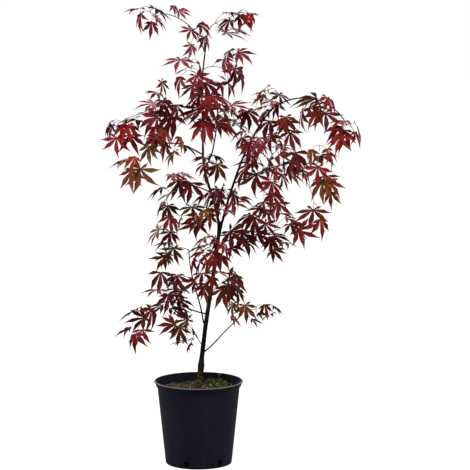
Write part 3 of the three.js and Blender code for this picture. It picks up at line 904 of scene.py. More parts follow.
def smooth_line(points, values, parts=LINE_PARTS):
    """Points and values along a smooth line through the given ones."""
    padded = np.vstack([2 * points[0] - points[1], points, 2 * points[-1] - points[-2]])
    sizes = np.concatenate([[values[0]], values, [values[-1]]])
    line, thick = [], []
    for i in range(1, len(padded) - 2):
        a, b, c, d = padded[i - 1 : i + 3]
        for step in range(parts):
            t = step / parts
            straight = (c - a) * t
            bowed = (2 * a - 5 * b + 4 * c - d) * t**2
            curled = (3 * b - a - 3 * c + d) * t**3
            line.append(0.5 * (2 * b + straight + bowed + curled))
            thick.append(sizes[i] + (sizes[i + 1] - sizes[i]) * t)
    line.append(points[-1])
    thick.append(values[-1])
    return np.array(line), np.array(thick)


def from_first_end(centres, sizes, flip):
    """The line the right way round, if it has to be turned."""
    return (centres[::-1], sizes[::-1]) if flip else (centres, sizes)


def led_from(start, centres, sizes):
    """A smooth line through the centres that sets off from a start."""
    return smooth_line(np.vstack([start, centres]), np.concatenate([[sizes[0]], sizes]))


def trunk_limb(centres, sizes):
    """The trunk, sunk a little in the soil and thicker where it leaves it."""
    centres, sizes = from_first_end(centres, sizes, centres[0, 2] > centres[-1, 2])
    line, thick = led_from(centres[0] + DOWN * TRUNK_SUNK, centres, sizes)
    rise = (line[:, 2] - centres[0, 2]) / FLARE_HEIGHT
    return {"line": line, "thick": thick * (1 + FLARE * np.exp(-(rise**2)))}


def borne_limb(centres, sizes, bearer, point, place):
    """A limb that starts inside its bearer, with a collar where it leaves it."""
    line, thick = led_from(point, centres, sizes)
    if place < len(bearer["line"]) - 2:
        girth = bearer["thick"][min(int(place), len(bearer["thick"]) - 1)]
        steps = np.linalg.norm(np.diff(line, axis=0), axis=1)
        travelled = np.concatenate([[0], np.cumsum(steps)])
        reach = np.clip((travelled - girth) / (COLLAR_REACH * sizes[0]), 0, 1)
        thick = thick * (COLLAR + (1 - COLLAR) * reach**0.5)
        thick = np.minimum(thick, girth * 0.95)
    return {"line": line, "thick": thick}


def next_limb(waiting, limbs):
    """The waiting limb that is nearest to one already grown, and where on that it starts."""
    best = None
    for name, (centres, _) in waiting.items():
        for bearer, grown in limbs.items():
            for flip in (False, True):
                start = centres[-1] if flip else centres[0]
                point, place = nearest_on(grown["line"], start)
                gap = np.linalg.norm(point - start)
                if best is None or gap < best[0]:
                    best = (gap, name, bearer, flip, point, place)
    return best[1:]


def read_limbs():
    """Every packed limb as a smooth line, each starting inside the limb that bears it."""
    waiting = {}
    for name, node in NODES.items():
        if name not in ("pot", "soil") and not name.startswith("leaves_"):
            waiting[name] = packed_line(node)
    foot = min(waiting, key=lambda name: waiting[name][0][:, 2].min())
    limbs = {foot: trunk_limb(*waiting.pop(foot))}
    while waiting:
        name, bearer, flip, point, place = next_limb(waiting, limbs)
        centres, sizes = from_first_end(*waiting.pop(name), flip)
        limbs[name] = borne_limb(centres, sizes, limbs[bearer], point, place)
    return limbs


# ---------------------------------------------------------------- one leaf


class Blade:
    """A leaf as it is drawn: points, faces, and for each point how far along and across a
    lobe it is, and the shade of that lobe."""

    def __init__(self):
        self.verts = []
        self.faces = []
        self.places = []

    def point(self, spot, along, across, shade):
        """Adds a point, and gives its number."""
        self.verts.append(spot)
        self.places.append((along, across, shade))
        return len(self.verts) - 1


def lobe_spot(pose, angle, share, length, across, twist, droop=1.0):
    """A point on a lobe that bends down and curls sideways as it goes out."""
    bend, fold, curl = pose
    dip = math.radians(bend) * droop * share**1.15
    out = length * share * (math.sin(dip) / dip if dip > 1e-4 else 1.0)
    low = -length * share * (dip / 2) * (1 - dip**2 / 24)
    turn = math.radians(angle + curl * share * share * twist)
    side = math.radians(angle)
    x = out * math.sin(turn) + across * math.cos(side)
    y = out * math.cos(turn) - across * math.sin(side)
    z = low + abs(across) * math.tan(math.radians(fold))
    return (x, y, z)


def chance_lobes(rng, angles, lengths):
    """The angle and length of every lobe of a leaf, from one side to the other."""
    lobes = [(-a, s) for a, s in zip(angles[:0:-1], lengths[:0:-1])]
    lobes += list(zip(angles, lengths))
    return sorted([(a + rng.uniform(-6, 6), s * rng.uniform(0.86, 1.06)) for a, s in lobes])


def notches(lobes):
    """Every notch beside a lobe: its angle, the length of the lobes there, and its depth."""
    first, last = lobes[0], lobes[-1]
    places = [(first[0] - 26, first[1], 0.6)]
    for left, right in zip(lobes, lobes[1:]):
        places.append(((left[0] + right[0]) / 2, (left[1] + right[1]) / 2, 0.9))
    places.append((last[0] + 26, last[1], 0.6))
    return places


def add_lobe(blade, rng, pose, lobe, left, right):
    """Adds a pointed lobe between two notches, in two strips along its midrib."""
    angle, share = lobe
    length = LOBE_LENGTH * share
    half = LOBE_WIDTH / 2 * share**0.6 * rng.uniform(0.92, 1.08)
    twist = 1 if angle >= 0 else -1
    shade, droop = rng.random(), rng.uniform(0.3, 1.9)
    stations = list(zip(LOBE_STATIONS, LOBE_WIDTHS))
    if share <= SMALL_LOBE:
        stations = stations[::2] + stations[-1:]
    middle, lefts, rights = [], [left], [right]
    for k, (t, wide) in enumerate(stations):
        spot = lobe_spot(pose, angle, t, length, 0.0, twist, droop)
        middle.append(blade.point(spot, t, 0.0, shade))
        if k == 0:
            continue
        for side, row in ((-1, lefts), (1, rights)):
            spot = lobe_spot(pose, angle, t, length, side * half * wide, twist, droop)
            row.append(blade.point(spot, t, 1.0, shade))
    tip = blade.point(lobe_spot(pose, angle, 1.0, length, 0.0, twist, droop), 1.0, 0.5, shade)
    blade.faces += [(0, middle[0], left), (0, right, middle[0])]
    for k in range(len(middle) - 1):
        blade.faces.append((lefts[k], middle[k], middle[k + 1], lefts[k + 1]))
        blade.faces.append((middle[k], rights[k], rights[k + 1], middle[k + 1]))
    blade.faces += [(lefts[-1], middle[-1], tip), (middle[-1], rights[-1], tip)]


def draw_leaf(angles, lengths, bend, fold, curl, seed):
    """One leaf: its hub at the origin, its middle lobe along +Y and its top along +Z."""
    rng = np.random.default_rng(seed)
    lobes = chance_lobes(rng, angles, lengths)
    pose = (bend, fold, curl)
    blade = Blade()
    blade.point((0.0, 0.0, 0.0), 0.0, 0.0, 0.5)
    sinuses = []
    for angle, share, deep in notches(lobes):
        depth = LOBE_STATIONS[0] * share * deep
        spot = lobe_spot(pose, angle, depth, LOBE_LENGTH, 0.0, 0)
        sinuses.append(blade.point(spot, LOBE_STATIONS[0], 1.0, 0.5))
    for lobe, left, right in zip(lobes, sinuses, sinuses[1:]):
        add_lobe(blade, rng, pose, lobe, left, right)
    return blade


def build_leaves():
    """The working shapes of leaf, as a collection, with sample points on each."""
    shapes, samples = bpy.data.collections.new("leaf_shapes"), []
    for number, shape in enumerate(LEAF_SHAPES):
        blade = draw_leaf(seed=number + 3, **shape)
        leaf = mesh_object(f"leaf_shape_{number:02d}", blade.verts, blade.faces)
        attribute(leaf.data, "blade", "FLOAT_VECTOR", "POINT", blade.places)
        shade_smooth(leaf.data)
        midribs = [all(blade.places[v][1] == 0 for v in edge.vertices) for edge in leaf.data.edges]
        attribute(leaf.data, "sharp_edge", "BOOLEAN", "EDGE", midribs)
        bpy.context.scene.collection.objects.unlink(leaf)
        shapes.objects.link(leaf)
        samples.append(spots_on(np.array(blade.verts), blade.faces))
    return shapes, samples


def spots_on(verts, faces):
    """Points spread over a leaf, about as far apart as SPOT_SPACING."""
    spots = []
    for face in faces:
        for second, third in zip(face[1:], face[2:]):
            a, b, c = verts[[face[0], second, third]]
            area = np.linalg.norm(np.cross(b - a, c - a)) / 2
            parts = max(1, round(math.sqrt(area * 2) / SPOT_SPACING))
            for i in range(parts):
                for j in range(parts - i):
                    u, v = (i + 1 / 3) / parts, (j + 1 / 3) / parts
                    spots.append(a + (b - a) * u + (c - a) * v)
    return np.array(spots)


# ---------------------------------------------------------------- growth

# a viewer straight in front, a little above the crown
EYE = np.array([0.079, -4.9, 1.17])

# cells that a leaf is seen to fill from the front and the side, and cells that it takes up
CELL = 2.5 * MM
SIDE_CELL = 2 * CELL
TAKEN_CELL = 5 * MM
# a place is roomy if much is open within this reach of it, in cells
ROOMY_REACH = 18 * MM / CELL
# how close the sample points of a leaf lie, and how many of them each chance placing tests
SPOT_SPACING = 2.2 * MM
TRY_SPOTS = 60
TRIES = 100
# how far leaves may hang in front of or behind their mass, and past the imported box
DEPTH_MARGIN = 14 * MM
BOX_MARGIN = 6 * MM
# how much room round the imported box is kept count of
SPARE_ROOM = 50 * MM
# a twig ends this far above the room that its leaves will hang in
TWIG_RISE = 20 * MM
# marks for the share of a leaf that fills room from the front, that no other leaf is seen
# behind or before, and that fills room from the side
FRESH_MARK, CLEAR_MARK, SIDE_MARK = 1.0, 0.4, 0.45
# marks for the share that hangs outside the mass from the front, from the side or in depth,
# and that lies against another leaf
OUTSIDE_MARK, BESIDE_MARK, DEPTH_MARK, CROWDED_MARK = -0.42, -0.2, -0.5, -0.9
# marks for a leaf that faces the front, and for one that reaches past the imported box
FACING_MARK, PAST_BOX_MARK = 0.22, -5.0
# a leaf hangs only with this mark or better, or with any mark if its spray has none yet
LEAST_MARK, ANY_MARK = 0.34, -9.0
MOST_MISSES = 18
# how far the second leaf of a pair may stray from the side opposite the first, in radians
PAIR_LOOSE = 0.7


def front_view(points):
    """Where the eye sees points, on the upright plane through the middle of the pot."""
    shares = EYE[1] / (EYE[1] - points[..., 1:2])
    return EYE[[0, 2]] + (points[..., [0, 2]] - EYE[[0, 2]]) * shares


class Cells:
    """A block of small cells in two or three dimensions, and which of them are marked."""

    def __init__(self, low, high, size):
        self.low, self.size = low, size
        self.marked = np.zeros(np.ceil((high - low) / size).astype(int), bool)

    def index(self, points):
        """Which points fit in the block, and the cells they lie in or nearest to."""
        found = np.floor((points - self.low) / self.size).astype(int)
        fits = np.all((found >= 0) & (found < self.marked.shape), axis=-1)
        found = np.clip(found, 0, np.array(self.marked.shape) - 1)
        return fits, tuple(np.moveaxis(found, -1, 0))

    def middle(self, index):
        """The middle point of a cell."""
        return self.low + (np.array(index) + 0.5) * self.size

    def at(self, points):
        """Which points lie in marked cells."""
        fits, index = self.index(points)
        return fits & self.marked[index]

    def mark(self, points):
        """Marks the cells that hold points."""
        fits, index = self.index(points)
        self.marked[tuple(axis[fits] for axis in index)] = True

    def mark_round(self, points):
        """Marks the cells that hold points, and their neighbours each way."""
        steps = np.array(list(np.ndindex((3,) * len(self.low)))) - 1
        self.mark((points[:, None] + steps[None] * self.size).reshape(-1, len(self.low)))


class Mass:
    """The room of one packed mass of leaves, as it is seen from the front and the side."""

    def __init__(self, node):
        shell = merged_shell(node)
        tree = BVHTree.FromBMesh(shell)
        corners = np.array([v.co for v in shell.verts])
        shell.free()
        self.name = node.name
        self.middle = corners.mean(axis=0)
        seen, aside = front_view(corners), corners[:, 1:]
        self.front, self.filled = [Cells(seen.min(axis=0), seen.max(axis=0), CELL) for _ in range(2)]
        self.side, self.side_filled = [
            Cells(aside.min(axis=0), aside.max(axis=0), SIDE_CELL) for _ in range(2)
        ]
        self.near = np.zeros(self.front.marked.shape)
        self.far = np.zeros(self.front.marked.shape)
        self.look_from_front(tree)
        self.look_from_side(tree)

    def look_from_front(self, tree):
        """Marks the cells where the mass is seen, and how near and far it reaches there."""
        for index in np.ndindex(*self.front.marked.shape):
            spot = self.front.middle(index)
            way = Vector((spot[0] - EYE[0], -EYE[1], spot[1] - EYE[2])).normalized()
            first = tree.ray_cast(Vector(EYE), way)[0]
            if first is None:
                continue
            last = tree.ray_cast(Vector(EYE) + way * 10, -way)[0] or first
            self.front.marked[index] = True
            self.near[index], self.far[index] = first.y, last.y

    def look_from_side(self, tree):
        """Marks the cells where the mass is seen from its left."""
        for index in np.ndindex(*self.side.marked.shape):
            spot = self.side.middle(index)
            hit = tree.ray_cast(Vector((-10, spot[0], spot[1])), Vector((1, 0, 0)))[0]
            self.side.marked[index] = hit is not None

    def holds(self, points, margin=0.0):
        """Which points lie inside the mass, or no further before or behind it."""
        fits, index = self.front.index(front_view(points))
        inside = fits & self.front.marked[index]
        y = points[..., 1]
        return inside & (y > self.near[index] - margin) & (y < self.far[index] + margin)

    def cover(self):
        """The share of its front that its own leaves hide."""
        return (self.filled.marked & self.front.marked).sum() / self.front.marked.sum()

    def open_spot(self, rng):
        """The middle of a roomy open place, at a chance depth."""
        free = self.front.marked & ~self.filled.marked
        cells = np.argwhere(free)
        if not len(cells):
            return self.middle
        picks = cells[rng.integers(0, len(cells), 8)]
        room = [np.sum(np.abs(cells - p).max(axis=1) < ROOMY_REACH) for p in picks]
        picked = tuple(picks[int(np.argmax(room))])
        u, v = self.front.middle(picked)
        y = rng.uniform(self.near[picked], self.far[picked])
        share = (EYE[1] - y) / EYE[1]
        return np.array([EYE[0] + (u - EYE[0]) * share, y, EYE[2] + (v - EYE[2]) * share])


def unit(v):
    """The same direction, one long."""
    return v / max(np.linalg.norm(v), 1e-9)


def square_to(axis):
    """Two directions square to an axis and to each other."""
    side = unit(np.cross(axis, UP if abs(axis[2]) < 0.95 else SIDEWAYS))
    return side, np.cross(axis, side)


def around(axis, angles):
    """Directions square to an axis, at angles round it."""
    side, other = square_to(axis)
    angles = np.asarray(angles)[:, None]
    return side * np.cos(angles) + other * np.sin(angles)


def arc(start, end, leaving, sag, count):
    """Points from start to end that set off in a direction and sag on the way."""
    reach = np.linalg.norm(end - start)
    bend = start + leaving * reach * 0.45
    t = np.linspace(0, 1, count)[:, None]
    line = (1 - t) ** 2 * start + 2 * t * (1 - t) * bend + t**2 * end
    return line + DOWN * (sag * reach * 4 * t * (1 - t))


def rows_unit(rows):
    """Many directions, each made one long."""
    return rows / np.maximum(np.linalg.norm(rows, axis=-1, keepdims=True), 1e-9)


def chance_poses(rng, leaving):
    """Chance poses for leaves whose stalks leave their twig that way: the axes of each leaf."""
    n = len(leaving)
    level = rows_unit(leaving * (1, 1, 0) + rng.normal(0, 0.08, (n, 3)) * (1, 1, 0))
    heading = rng.normal(0, 0.7, n)[:, None]
    turned = level * np.cos(heading) + np.cross(UP, level) * np.sin(heading)
    pitch = np.radians(rng.uniform(*LEAF_PITCH, n))[:, None]
    y = turned * np.cos(pitch) + DOWN * np.sin(pitch)
    x = rows_unit(np.cross(y, UP))
    z = np.cross(x, y)
    roll = rng.normal(0, 0.5, n)[:, None]
    x, z = x * np.cos(roll) + z * np.sin(roll), z * np.cos(roll) - x * np.sin(roll)
    return np.stack([x, y, z], axis=-1)


class Growth:
    """Everything that grows from the limbs: twigs, leaf stalks and leaves."""

    def __init__(self, limbs, samples, seed):
        self.limbs = limbs
        self.samples = samples
        self.rng = np.random.default_rng(seed)
        self.tests = np.array([s[self.rng.integers(0, len(s), TRY_SPOTS)] for s in samples])
        self.twigs = []
        self.stalks = []
        self.leaves = {tint: [] for tint in TINTS}
        self.masses = {tint: set() for tint in TINTS}
        low, high = np.array(cad_box[0]) - SPARE_ROOM, np.array(cad_box[1]) + SPARE_ROOM
        self.taken = Cells(low, high, TAKEN_CELL)
        self.front_taken = Cells(low[[0, 2]], high[[0, 2]], CELL)
        self.dealt = 0

    def chances(self, node, along, spin, loose, size, young):
        """Many chance placings of one leaf on a stalk from a twig.

        Each has the way its stalk leaves the twig, its hub, its pose, its shape, its size and
        a few spots of its surface.
        """
        rng, n = self.rng, TRIES
        sides = around(along, spin + rng.uniform(-loose, loose, n))
        leaving = rows_unit(sides * 0.85 + along * rng.uniform(0.2, 0.9, n)[:, None])
        droop = rng.uniform(0.1, 0.9, n)[:, None]
        length = rng.uniform(*STALK_LENGTH, n)[:, None] * size
        hubs = node + rows_unit(leaving + DOWN * droop) * length
        poses = chance_poses(rng, leaving)
        shapes = rng.integers(0, YOUNG_LEAF, n)
        shapes[rng.random(n) < (0.5 if young else 0.04)] = YOUNG_LEAF
        scales = size * rng.uniform(*LEAF_SIZES, n)
        spots = self.tests[shapes] * scales[:, None, None]
        spots = hubs[:, None] + np.einsum("kij,ksj->ksi", poses, spots)
        return leaving, hubs, poses, shapes, scales, spots

    def marks(self, mass, poses, spots):
        """How well each of many placings suits its mass."""
        seen, aside = front_view(spots), spots[..., 1:]
        inside = mass.front.at(seen)
        fresh = inside & ~mass.filled.at(seen)
        beside = mass.side.at(aside)
        marks = FRESH_MARK * fresh.mean(1) + OUTSIDE_MARK * (~inside).mean(1)
        marks += CLEAR_MARK * (fresh & ~self.front_taken.at(seen)).mean(1)
        fresh_aside = beside & ~mass.side_filled.at(aside)
        marks += SIDE_MARK * fresh_aside.mean(1) + BESIDE_MARK * (~beside).mean(1)
        marks += DEPTH_MARK * (inside & ~mass.holds(spots, DEPTH_MARGIN)).mean(1)
        marks += CROWDED_MARK * self.taken.at(spots).mean(1) + FACING_MARK * np.abs(poses[:, 1, 2])
        low, high = np.array(cad_box[0]) - BOX_MARGIN, np.array(cad_box[1]) + BOX_MARGIN
        marks[np.any((spots < low) | (spots > high), axis=(1, 2))] += PAST_BOX_MARK
        return marks

    def add_leaf(self, mass, node, along, spin, loose, size, deal, young, needed):
        """Places the best of many chances, if it fills enough new room."""
        placings = self.chances(node, along, spin, loose, size, young)
        leaving, hubs, poses, shapes, scales, spots = placings
        marks = self.marks(mass, poses, spots)
        best = int(np.argmax(marks))
        if marks[best] < needed:
            return None
        hub, pose, shape, scale = hubs[best], poses[best], int(shapes[best]), scales[best]
        whole = hub + (self.samples[shape] * scale) @ pose.T
        mass.filled.mark(front_view(whole))
        mass.side_filled.mark(whole[:, 1:])
        self.front_taken.mark(front_view(whole))
        self.taken.mark_round(whole)
        tint = deal[self.dealt % len(deal)]
        self.dealt += 1
        turn = tuple(Matrix(pose.tolist()).to_euler("XYZ"))
        self.leaves[tint].append((hub, turn, shape, scale, self.rng.random()))
        self.masses[tint].add(mass.name)
        stalk = arc(node, hub, unit(leaving[best] + UP * 0.25), -0.04, 6)
        thick = STALK_THICKNESS * np.linspace(1.25, 0.85, 6) * (0.7 + 0.3 * size)
        self.stalks.append((stalk, thick))
        return leaving[best]

    def grow_spray(self, name, mass):
        """Fills one mass with twigs and pairs of leaves that set out from its limb."""
        dealt, size, full = SPRAYS[name]
        growing = {"size": size, "deal": dealt.split(), "young": size < YOUNG_SIZE}
        bearing = self.limb_points(mass)
        leaves, misses, self.dealt = 0, 0, 0
        while misses < MOST_MISSES and mass.cover() < full:
            needed = LEAST_MARK if leaves > 1 else ANY_MARK
            made = self.grow_into_gap(mass, full, bearing, needed, growing)
            leaves += made
            misses = 0 if made else misses + 1

    def grow_into_gap(self, mass, full, bearing, needed, growing):
        """Grows a twig towards an open place, or just a pair of leaves if that is close."""
        rng, size = self.rng, growing["size"]
        target = mass.open_spot(rng)
        points = np.array([point for point, _, _ in bearing])
        nearest = int(np.argmin(np.linalg.norm(points - target, axis=1)))
        start, along, thick = bearing[nearest]
        raised = target + UP * TWIG_RISE * size * rng.uniform(0.5, 1.3)
        gap = np.linalg.norm(raised - start)
        reach = LEAF_REACH * size * rng.uniform(0.3, 0.8)
        outward = unit(raised - start)
        spin = rng.uniform(0, math.tau)
        if gap <= reach + SHORTEST_TWIG:
            return self.add_pair(mass, start, unit(along + outward * 0.8), spin, needed, growing)
        length = gap - reach
        leaving = unit(outward + unit(along) * 0.6 + UP * 0.3)
        count = max(5, int(length / TWIG_STEP))
        line = arc(start, start + outward * length, leaving, 0.03, count)
        made = self.leaf_twig(mass, full, line, length, spin, needed, growing)
        if made:
            root = min(TWIG_THICKNESS[0], thick * 0.85)
            sizes = np.linspace(root, max(TWIG_THICKNESS[1], root * 0.6), len(line))
            self.twigs.append((line, sizes))
            for k in range(1, len(line)):
                bearing.append((line[k], line[k] - line[k - 1], sizes[k]))
        return made

    def leaf_twig(self, mass, full, line, length, spin, needed, growing):
        """Pairs of leaves on a twig, from its tip back, each turned square to the last."""
        made = self.add_pair(mass, line[-1], unit(line[-1] - line[-2]), spin, needed, growing)
        walked = length - NODE_SPACING * self.rng.uniform(0.8, 1.2)
        while made and walked > 0.45 * NODE_SPACING and mass.cover() < full:
            k = max(1, int(walked / length * (len(line) - 1)))
            spin += math.pi / 2
            way = unit(line[k] - line[k - 1])
            made += self.add_pair(mass, line[k], way, spin, LEAST_MARK, growing)
            walked -= NODE_SPACING * self.rng.uniform(0.85, 1.25)
        return made

    def add_pair(self, mass, node, along, spin, needed, growing):
        """A pair of leaves on opposite sides of a twig."""
        first = self.add_leaf(mass, node, along, spin, math.pi, needed=needed, **growing)
        if first is None:
            return 0
        side, other = square_to(along)
        outward = first - along * np.dot(first, along)
        opposite = math.atan2(np.dot(outward, other), np.dot(outward, side)) + math.pi
        second = self.add_leaf(mass, node, along, opposite, PAIR_LOOSE, needed=LEAST_MARK, **growing)
        return 1 if second is None else 2

    def limb_points(self, mass):
        """Where twigs of a mass may start: the limb inside it, or its nearest point."""
        choices = []
        for limb in self.limbs.values():
            gaps = np.linalg.norm(limb["line"] - mass.middle, axis=1)
            index = int(np.argmin(gaps))
            choices.append((gaps[index], index, limb))
        _, index, limb = min(choices, key=lambda c: c[0])
        line, thick = limb["line"], limb["thick"]
        first = min(max(index, 1), len(line) - 1)
        points = [(line[first], line[first] - line[first - 1], thick[first])]
        for other in self.limbs.values():
            for k in np.flatnonzero(mass.holds(other["line"])):
                if k > 0:
                    way = other["line"][k] - other["line"][k - 1]
                    points.append((other["line"][k], way, other["thick"][k]))
        return points


def lines_mesh(name, lines):
    """Many open lines as one mesh of edges, with a thickness at each point."""
    verts, edges, thick = [], [], []
    for line, sizes in lines:
        first = len(verts)
        verts.extend(line)
        edges.extend((first + k, first + k + 1) for k in range(len(line) - 1))
        thick.extend(sizes)
    made = mesh_object(name, verts, edges=edges)
    attribute(made.data, "thickness", "FLOAT", "POINT", thick)
    return made


def swept_piece(name, lines, sides, relief, relief_size, material, nodes=()):
    """A piece swept along lines."""
    source = lines_mesh(f"{name}_lines", lines)
    settings = {"Sides": sides, "Relief": relief, "Relief Size": relief_size, "Material": material}
    mesh = run_tree(source, SWEEP, settings)
    discard(source)
    finished(name, mesh, nodes)


# ---------------------------------------------------------------- turned shapes


def ring_of(count, radius, height):
    """Points of a level ring round the upright middle line."""
    angles = [math.tau * k / count for k in range(count)]
    return [(radius * math.cos(angle), radius * math.sin(angle), height) for angle in angles]


# ---------------------------------------------------------------- the pot


def rounded(centre_r, centre_z, radius, start, end, steps):
    """Points of a round corner in the pot's profile, angles in degrees."""
    spots = []
    for k in range(steps + 1):
        angle = math.radians(start + (end - start) * k / steps)
        spots.append((centre_r + radius * math.cos(angle), centre_z + radius * math.sin(angle)))
    return spots


def pot_profile():
    """The pot's section as radius and height, from the middle of its underside round to
    the middle of its floor inside."""
    section = [(0.0, 2.2 * MM), (FOOT_RADIUS - 9 * MM, 2.2 * MM), (FOOT_RADIUS - 6.5 * MM, 0.0)]
    section += rounded(FOOT_RADIUS - 2 * MM, 2 * MM, 2 * MM, -90, -6, 4)
    for share in np.linspace(0.08, 0.98, 10):
        radius = FOOT_RADIUS + (SHOULDER_RADIUS - FOOT_RADIUS) * share
        section.append((radius, share * BAND_LOW))
    # the flared band, then the roll on top of it
    section += [
        (SHOULDER_RADIUS + 0.5 * MM, BAND_LOW + 0.6 * MM),
        (BAND_RADIUS - 2.3 * MM, BAND_LOW + 2.3 * MM),
        (BAND_RADIUS - 1.4 * MM, BAND_LOW + 4.5 * MM),
        (BAND_RADIUS - 0.2 * MM, POT_HEIGHT - 5.4 * MM),
    ]
    section += rounded(LIP_RADIUS - ROLL_RADIUS, POT_HEIGHT - ROLL_RADIUS, ROLL_RADIUS, -62, 180, 12)
    # down the inside to the floor
    floor = POT_FLOOR + 0.6 * MM
    section += [
        (LIP_RADIUS - 2 * ROLL_RADIUS - 0.3 * MM, POT_HEIGHT - 5.5 * MM),
        (SHOULDER_RADIUS - POT_WALL, BAND_LOW - 1 * MM),
        (FOOT_RADIUS - POT_WALL, POT_FLOOR + 2 * MM),
        (FOOT_RADIUS - POT_WALL - 2 * MM, floor),
        (0.0, floor),
    ]
    return section


def build_pot(material):
    """Turns the section, then cuts the drain holes."""
    verts, faces, rings = [], [], []
    for radius, height in pot_profile():
        if radius == 0.0:
            rings.append([len(verts)] * POT_SECTORS)
            verts.append((0.0, 0.0, height))
            continue
        rings.append(list(range(len(verts), len(verts) + POT_SECTORS)))
        verts += ring_of(POT_SECTORS, radius, height)
    for low, high in zip(rings, rings[1:]):
        for k in range(POT_SECTORS):
            following = (k + 1) % POT_SECTORS
            corners = (low[k], low[following], high[following], high[k])
            faces.append(tuple(dict.fromkeys(corners)))
    turned = mesh_object("pot_turned", verts, faces)
    settings = {
        "Count": HOLE_COUNT,
        "Radius": FOOT_RADIUS,
        "First Angle": FIRST_HOLE,
        "Width": HOLE_WIDTH,
        "Depth": HOLE_DEPTH,
        "Height": HOLE_HEIGHT,
        "Foot": HOLE_FOOT,
        "Material": material,
    }
    mesh = run_tree(turned, HOLES, settings)
    discard(turned)
    shade_smooth(mesh)
    mesh.set_sharp_from_angle(angle=math.radians(38))
    finished("nursery_pot", mesh, ["pot"])


# ---------------------------------------------------------------- the soil


def heap(x, y, place, spread, height):
    """A height at a place, falling away smoothly round it."""
    across = (x - place[0]) / spread[0]
    back = (y - place[1]) / spread[1]
    return height * math.exp(-(across**2) - back**2)


def clipped(value):
    """A value kept between 0 and 1."""
    return min(1.0, max(0.0, value))


def soil_height(x, y):
    """The height of the compost at a place, and how mossy it is there."""
    out = math.hypot(x, y) / SOIL_RADIUS
    swell = noise.noise(Vector((x * 55, y * 55, 0.3)))
    grit = noise.noise(Vector((x * 190, y * 190, 4.1)))
    sunk = clipped((out - 0.84) / 0.16) ** 2
    level = SOIL_EDGE + heap(x, y, *MOUND) + heap(x, y, *TRUNK_RISE) * (1 - out)
    level -= heap(x, y, *HOLLOW)
    level += (swell * 1.5 + grit * 0.9 - 5 * sunk) * MM
    # moss lies right of the trunk, in clumps, and thins out at the edge
    green = noise.noise(Vector((x * 38 + 3, y * 38, 7.7))) * 0.6
    clump = noise.noise(Vector((x * 135, y * 135, 1.9)))
    moss = clipped((x - 0.001) * 26 + (y - 0.02) * 5 + green + 0.35)
    moss *= clipped(0.55 + 3.5 * clump) * clipped((0.9 - out) * 7)
    return level + MOSS_RISE * moss, min(1.0, moss + heap(x, y, *TRUNK_MOSS))


def ring_faces(inner, outer):
    """The faces between two rings of the compost, by the first point of each."""
    faces = []
    for k in range(SOIL_SECTORS):
        n = (k + 1) % SOIL_SECTORS
        faces.append((inner + k, outer + k, outer + n, inner + n))
    return faces


def soil_top():
    """The top of the compost: points, faces, and how mossy and how bare each point is."""
    verts, faces, mossy, bare = [(0.0, 0.0, soil_height(0, 0)[0])], [], [1.0], [0.0]
    for ring in range(1, SOIL_RINGS + 1):
        radius = SOIL_RADIUS * (ring / SOIL_RINGS) ** 0.9
        for x, y, _ in ring_of(SOIL_SECTORS, radius, 0.0):
            level, green = soil_height(x, y)
            verts.append((x, y, level))
            mossy.append(green)
            bare.append(max(0.0, 1.0 - green) * clipped((0.9 - radius / SOIL_RADIUS) * 12))
    for k in range(SOIL_SECTORS):
        faces.append((0, 1 + k, 1 + (k + 1) % SOIL_SECTORS))
    for ring in range(SOIL_RINGS - 1):
        inner = 1 + ring * SOIL_SECTORS
        faces += ring_faces(inner, inner + SOIL_SECTORS)
    return verts, faces, mossy, bare


def build_ground(soil):
    """The compost as one closed piece. Gives its top, for things to be scattered on."""
    verts, faces, mossy, bare = soil_top()
    top_faces = len(faces)
    rim = 1 + (SOIL_RINGS - 1) * SOIL_SECTORS
    lower = FOOT_RADIUS - POT_WALL - 0.5 * MM
    for share in (0.35, 0.7, 1.0):
        first = len(verts)
        height = SOIL_EDGE + (POT_FLOOR + 1 * MM - SOIL_EDGE) * share
        verts += ring_of(SOIL_SECTORS, SOIL_RADIUS + (lower - SOIL_RADIUS) * share, height)
        faces += ring_faces(rim, first)
        rim = first
    faces.append(tuple(rim + k for k in reversed(range(SOIL_SECTORS))))
    ground = mesh_object("ground", verts, faces)
    below = [0.0] * (len(verts) - len(mossy))
    attribute(ground.data, "moss", "FLOAT", "POINT", mossy + below)
    attribute(ground.data, "bare", "FLOAT", "POINT", bare + below)
    shade_smooth(ground.data)
    body = ground.data.copy()
    body.materials.append(soil)
    surface = bmesh.new()
    surface.from_mesh(ground.data)
    surface.faces.ensure_lookup_table()
    bmesh.ops.delete(surface, geom=surface.faces[top_faces:], context="FACES")
    surface.to_mesh(ground.data)
    surface.free()
    finished("potting_soil", body, ["soil"])
    return ground


def scatter_piece(name, ground, shapes, cover, density, sizes, tumble, seed, material, smooth=False):
    """A piece of many small shapes, scattered where the ground is mossy or bare."""
    settings = {
        "Shapes": shape_collection(name, shapes),
        "Density": density,
        "Cover": cover,
        "Smallest": sizes[0],
        "Largest": sizes[1],
        "Tumble": tumble,
        "Seed": seed,
        "Material": material,
    }
    mesh = run_tree(ground, SCATTER, settings)
    if smooth:
        shade_smooth(mesh)
    finished(name, mesh)


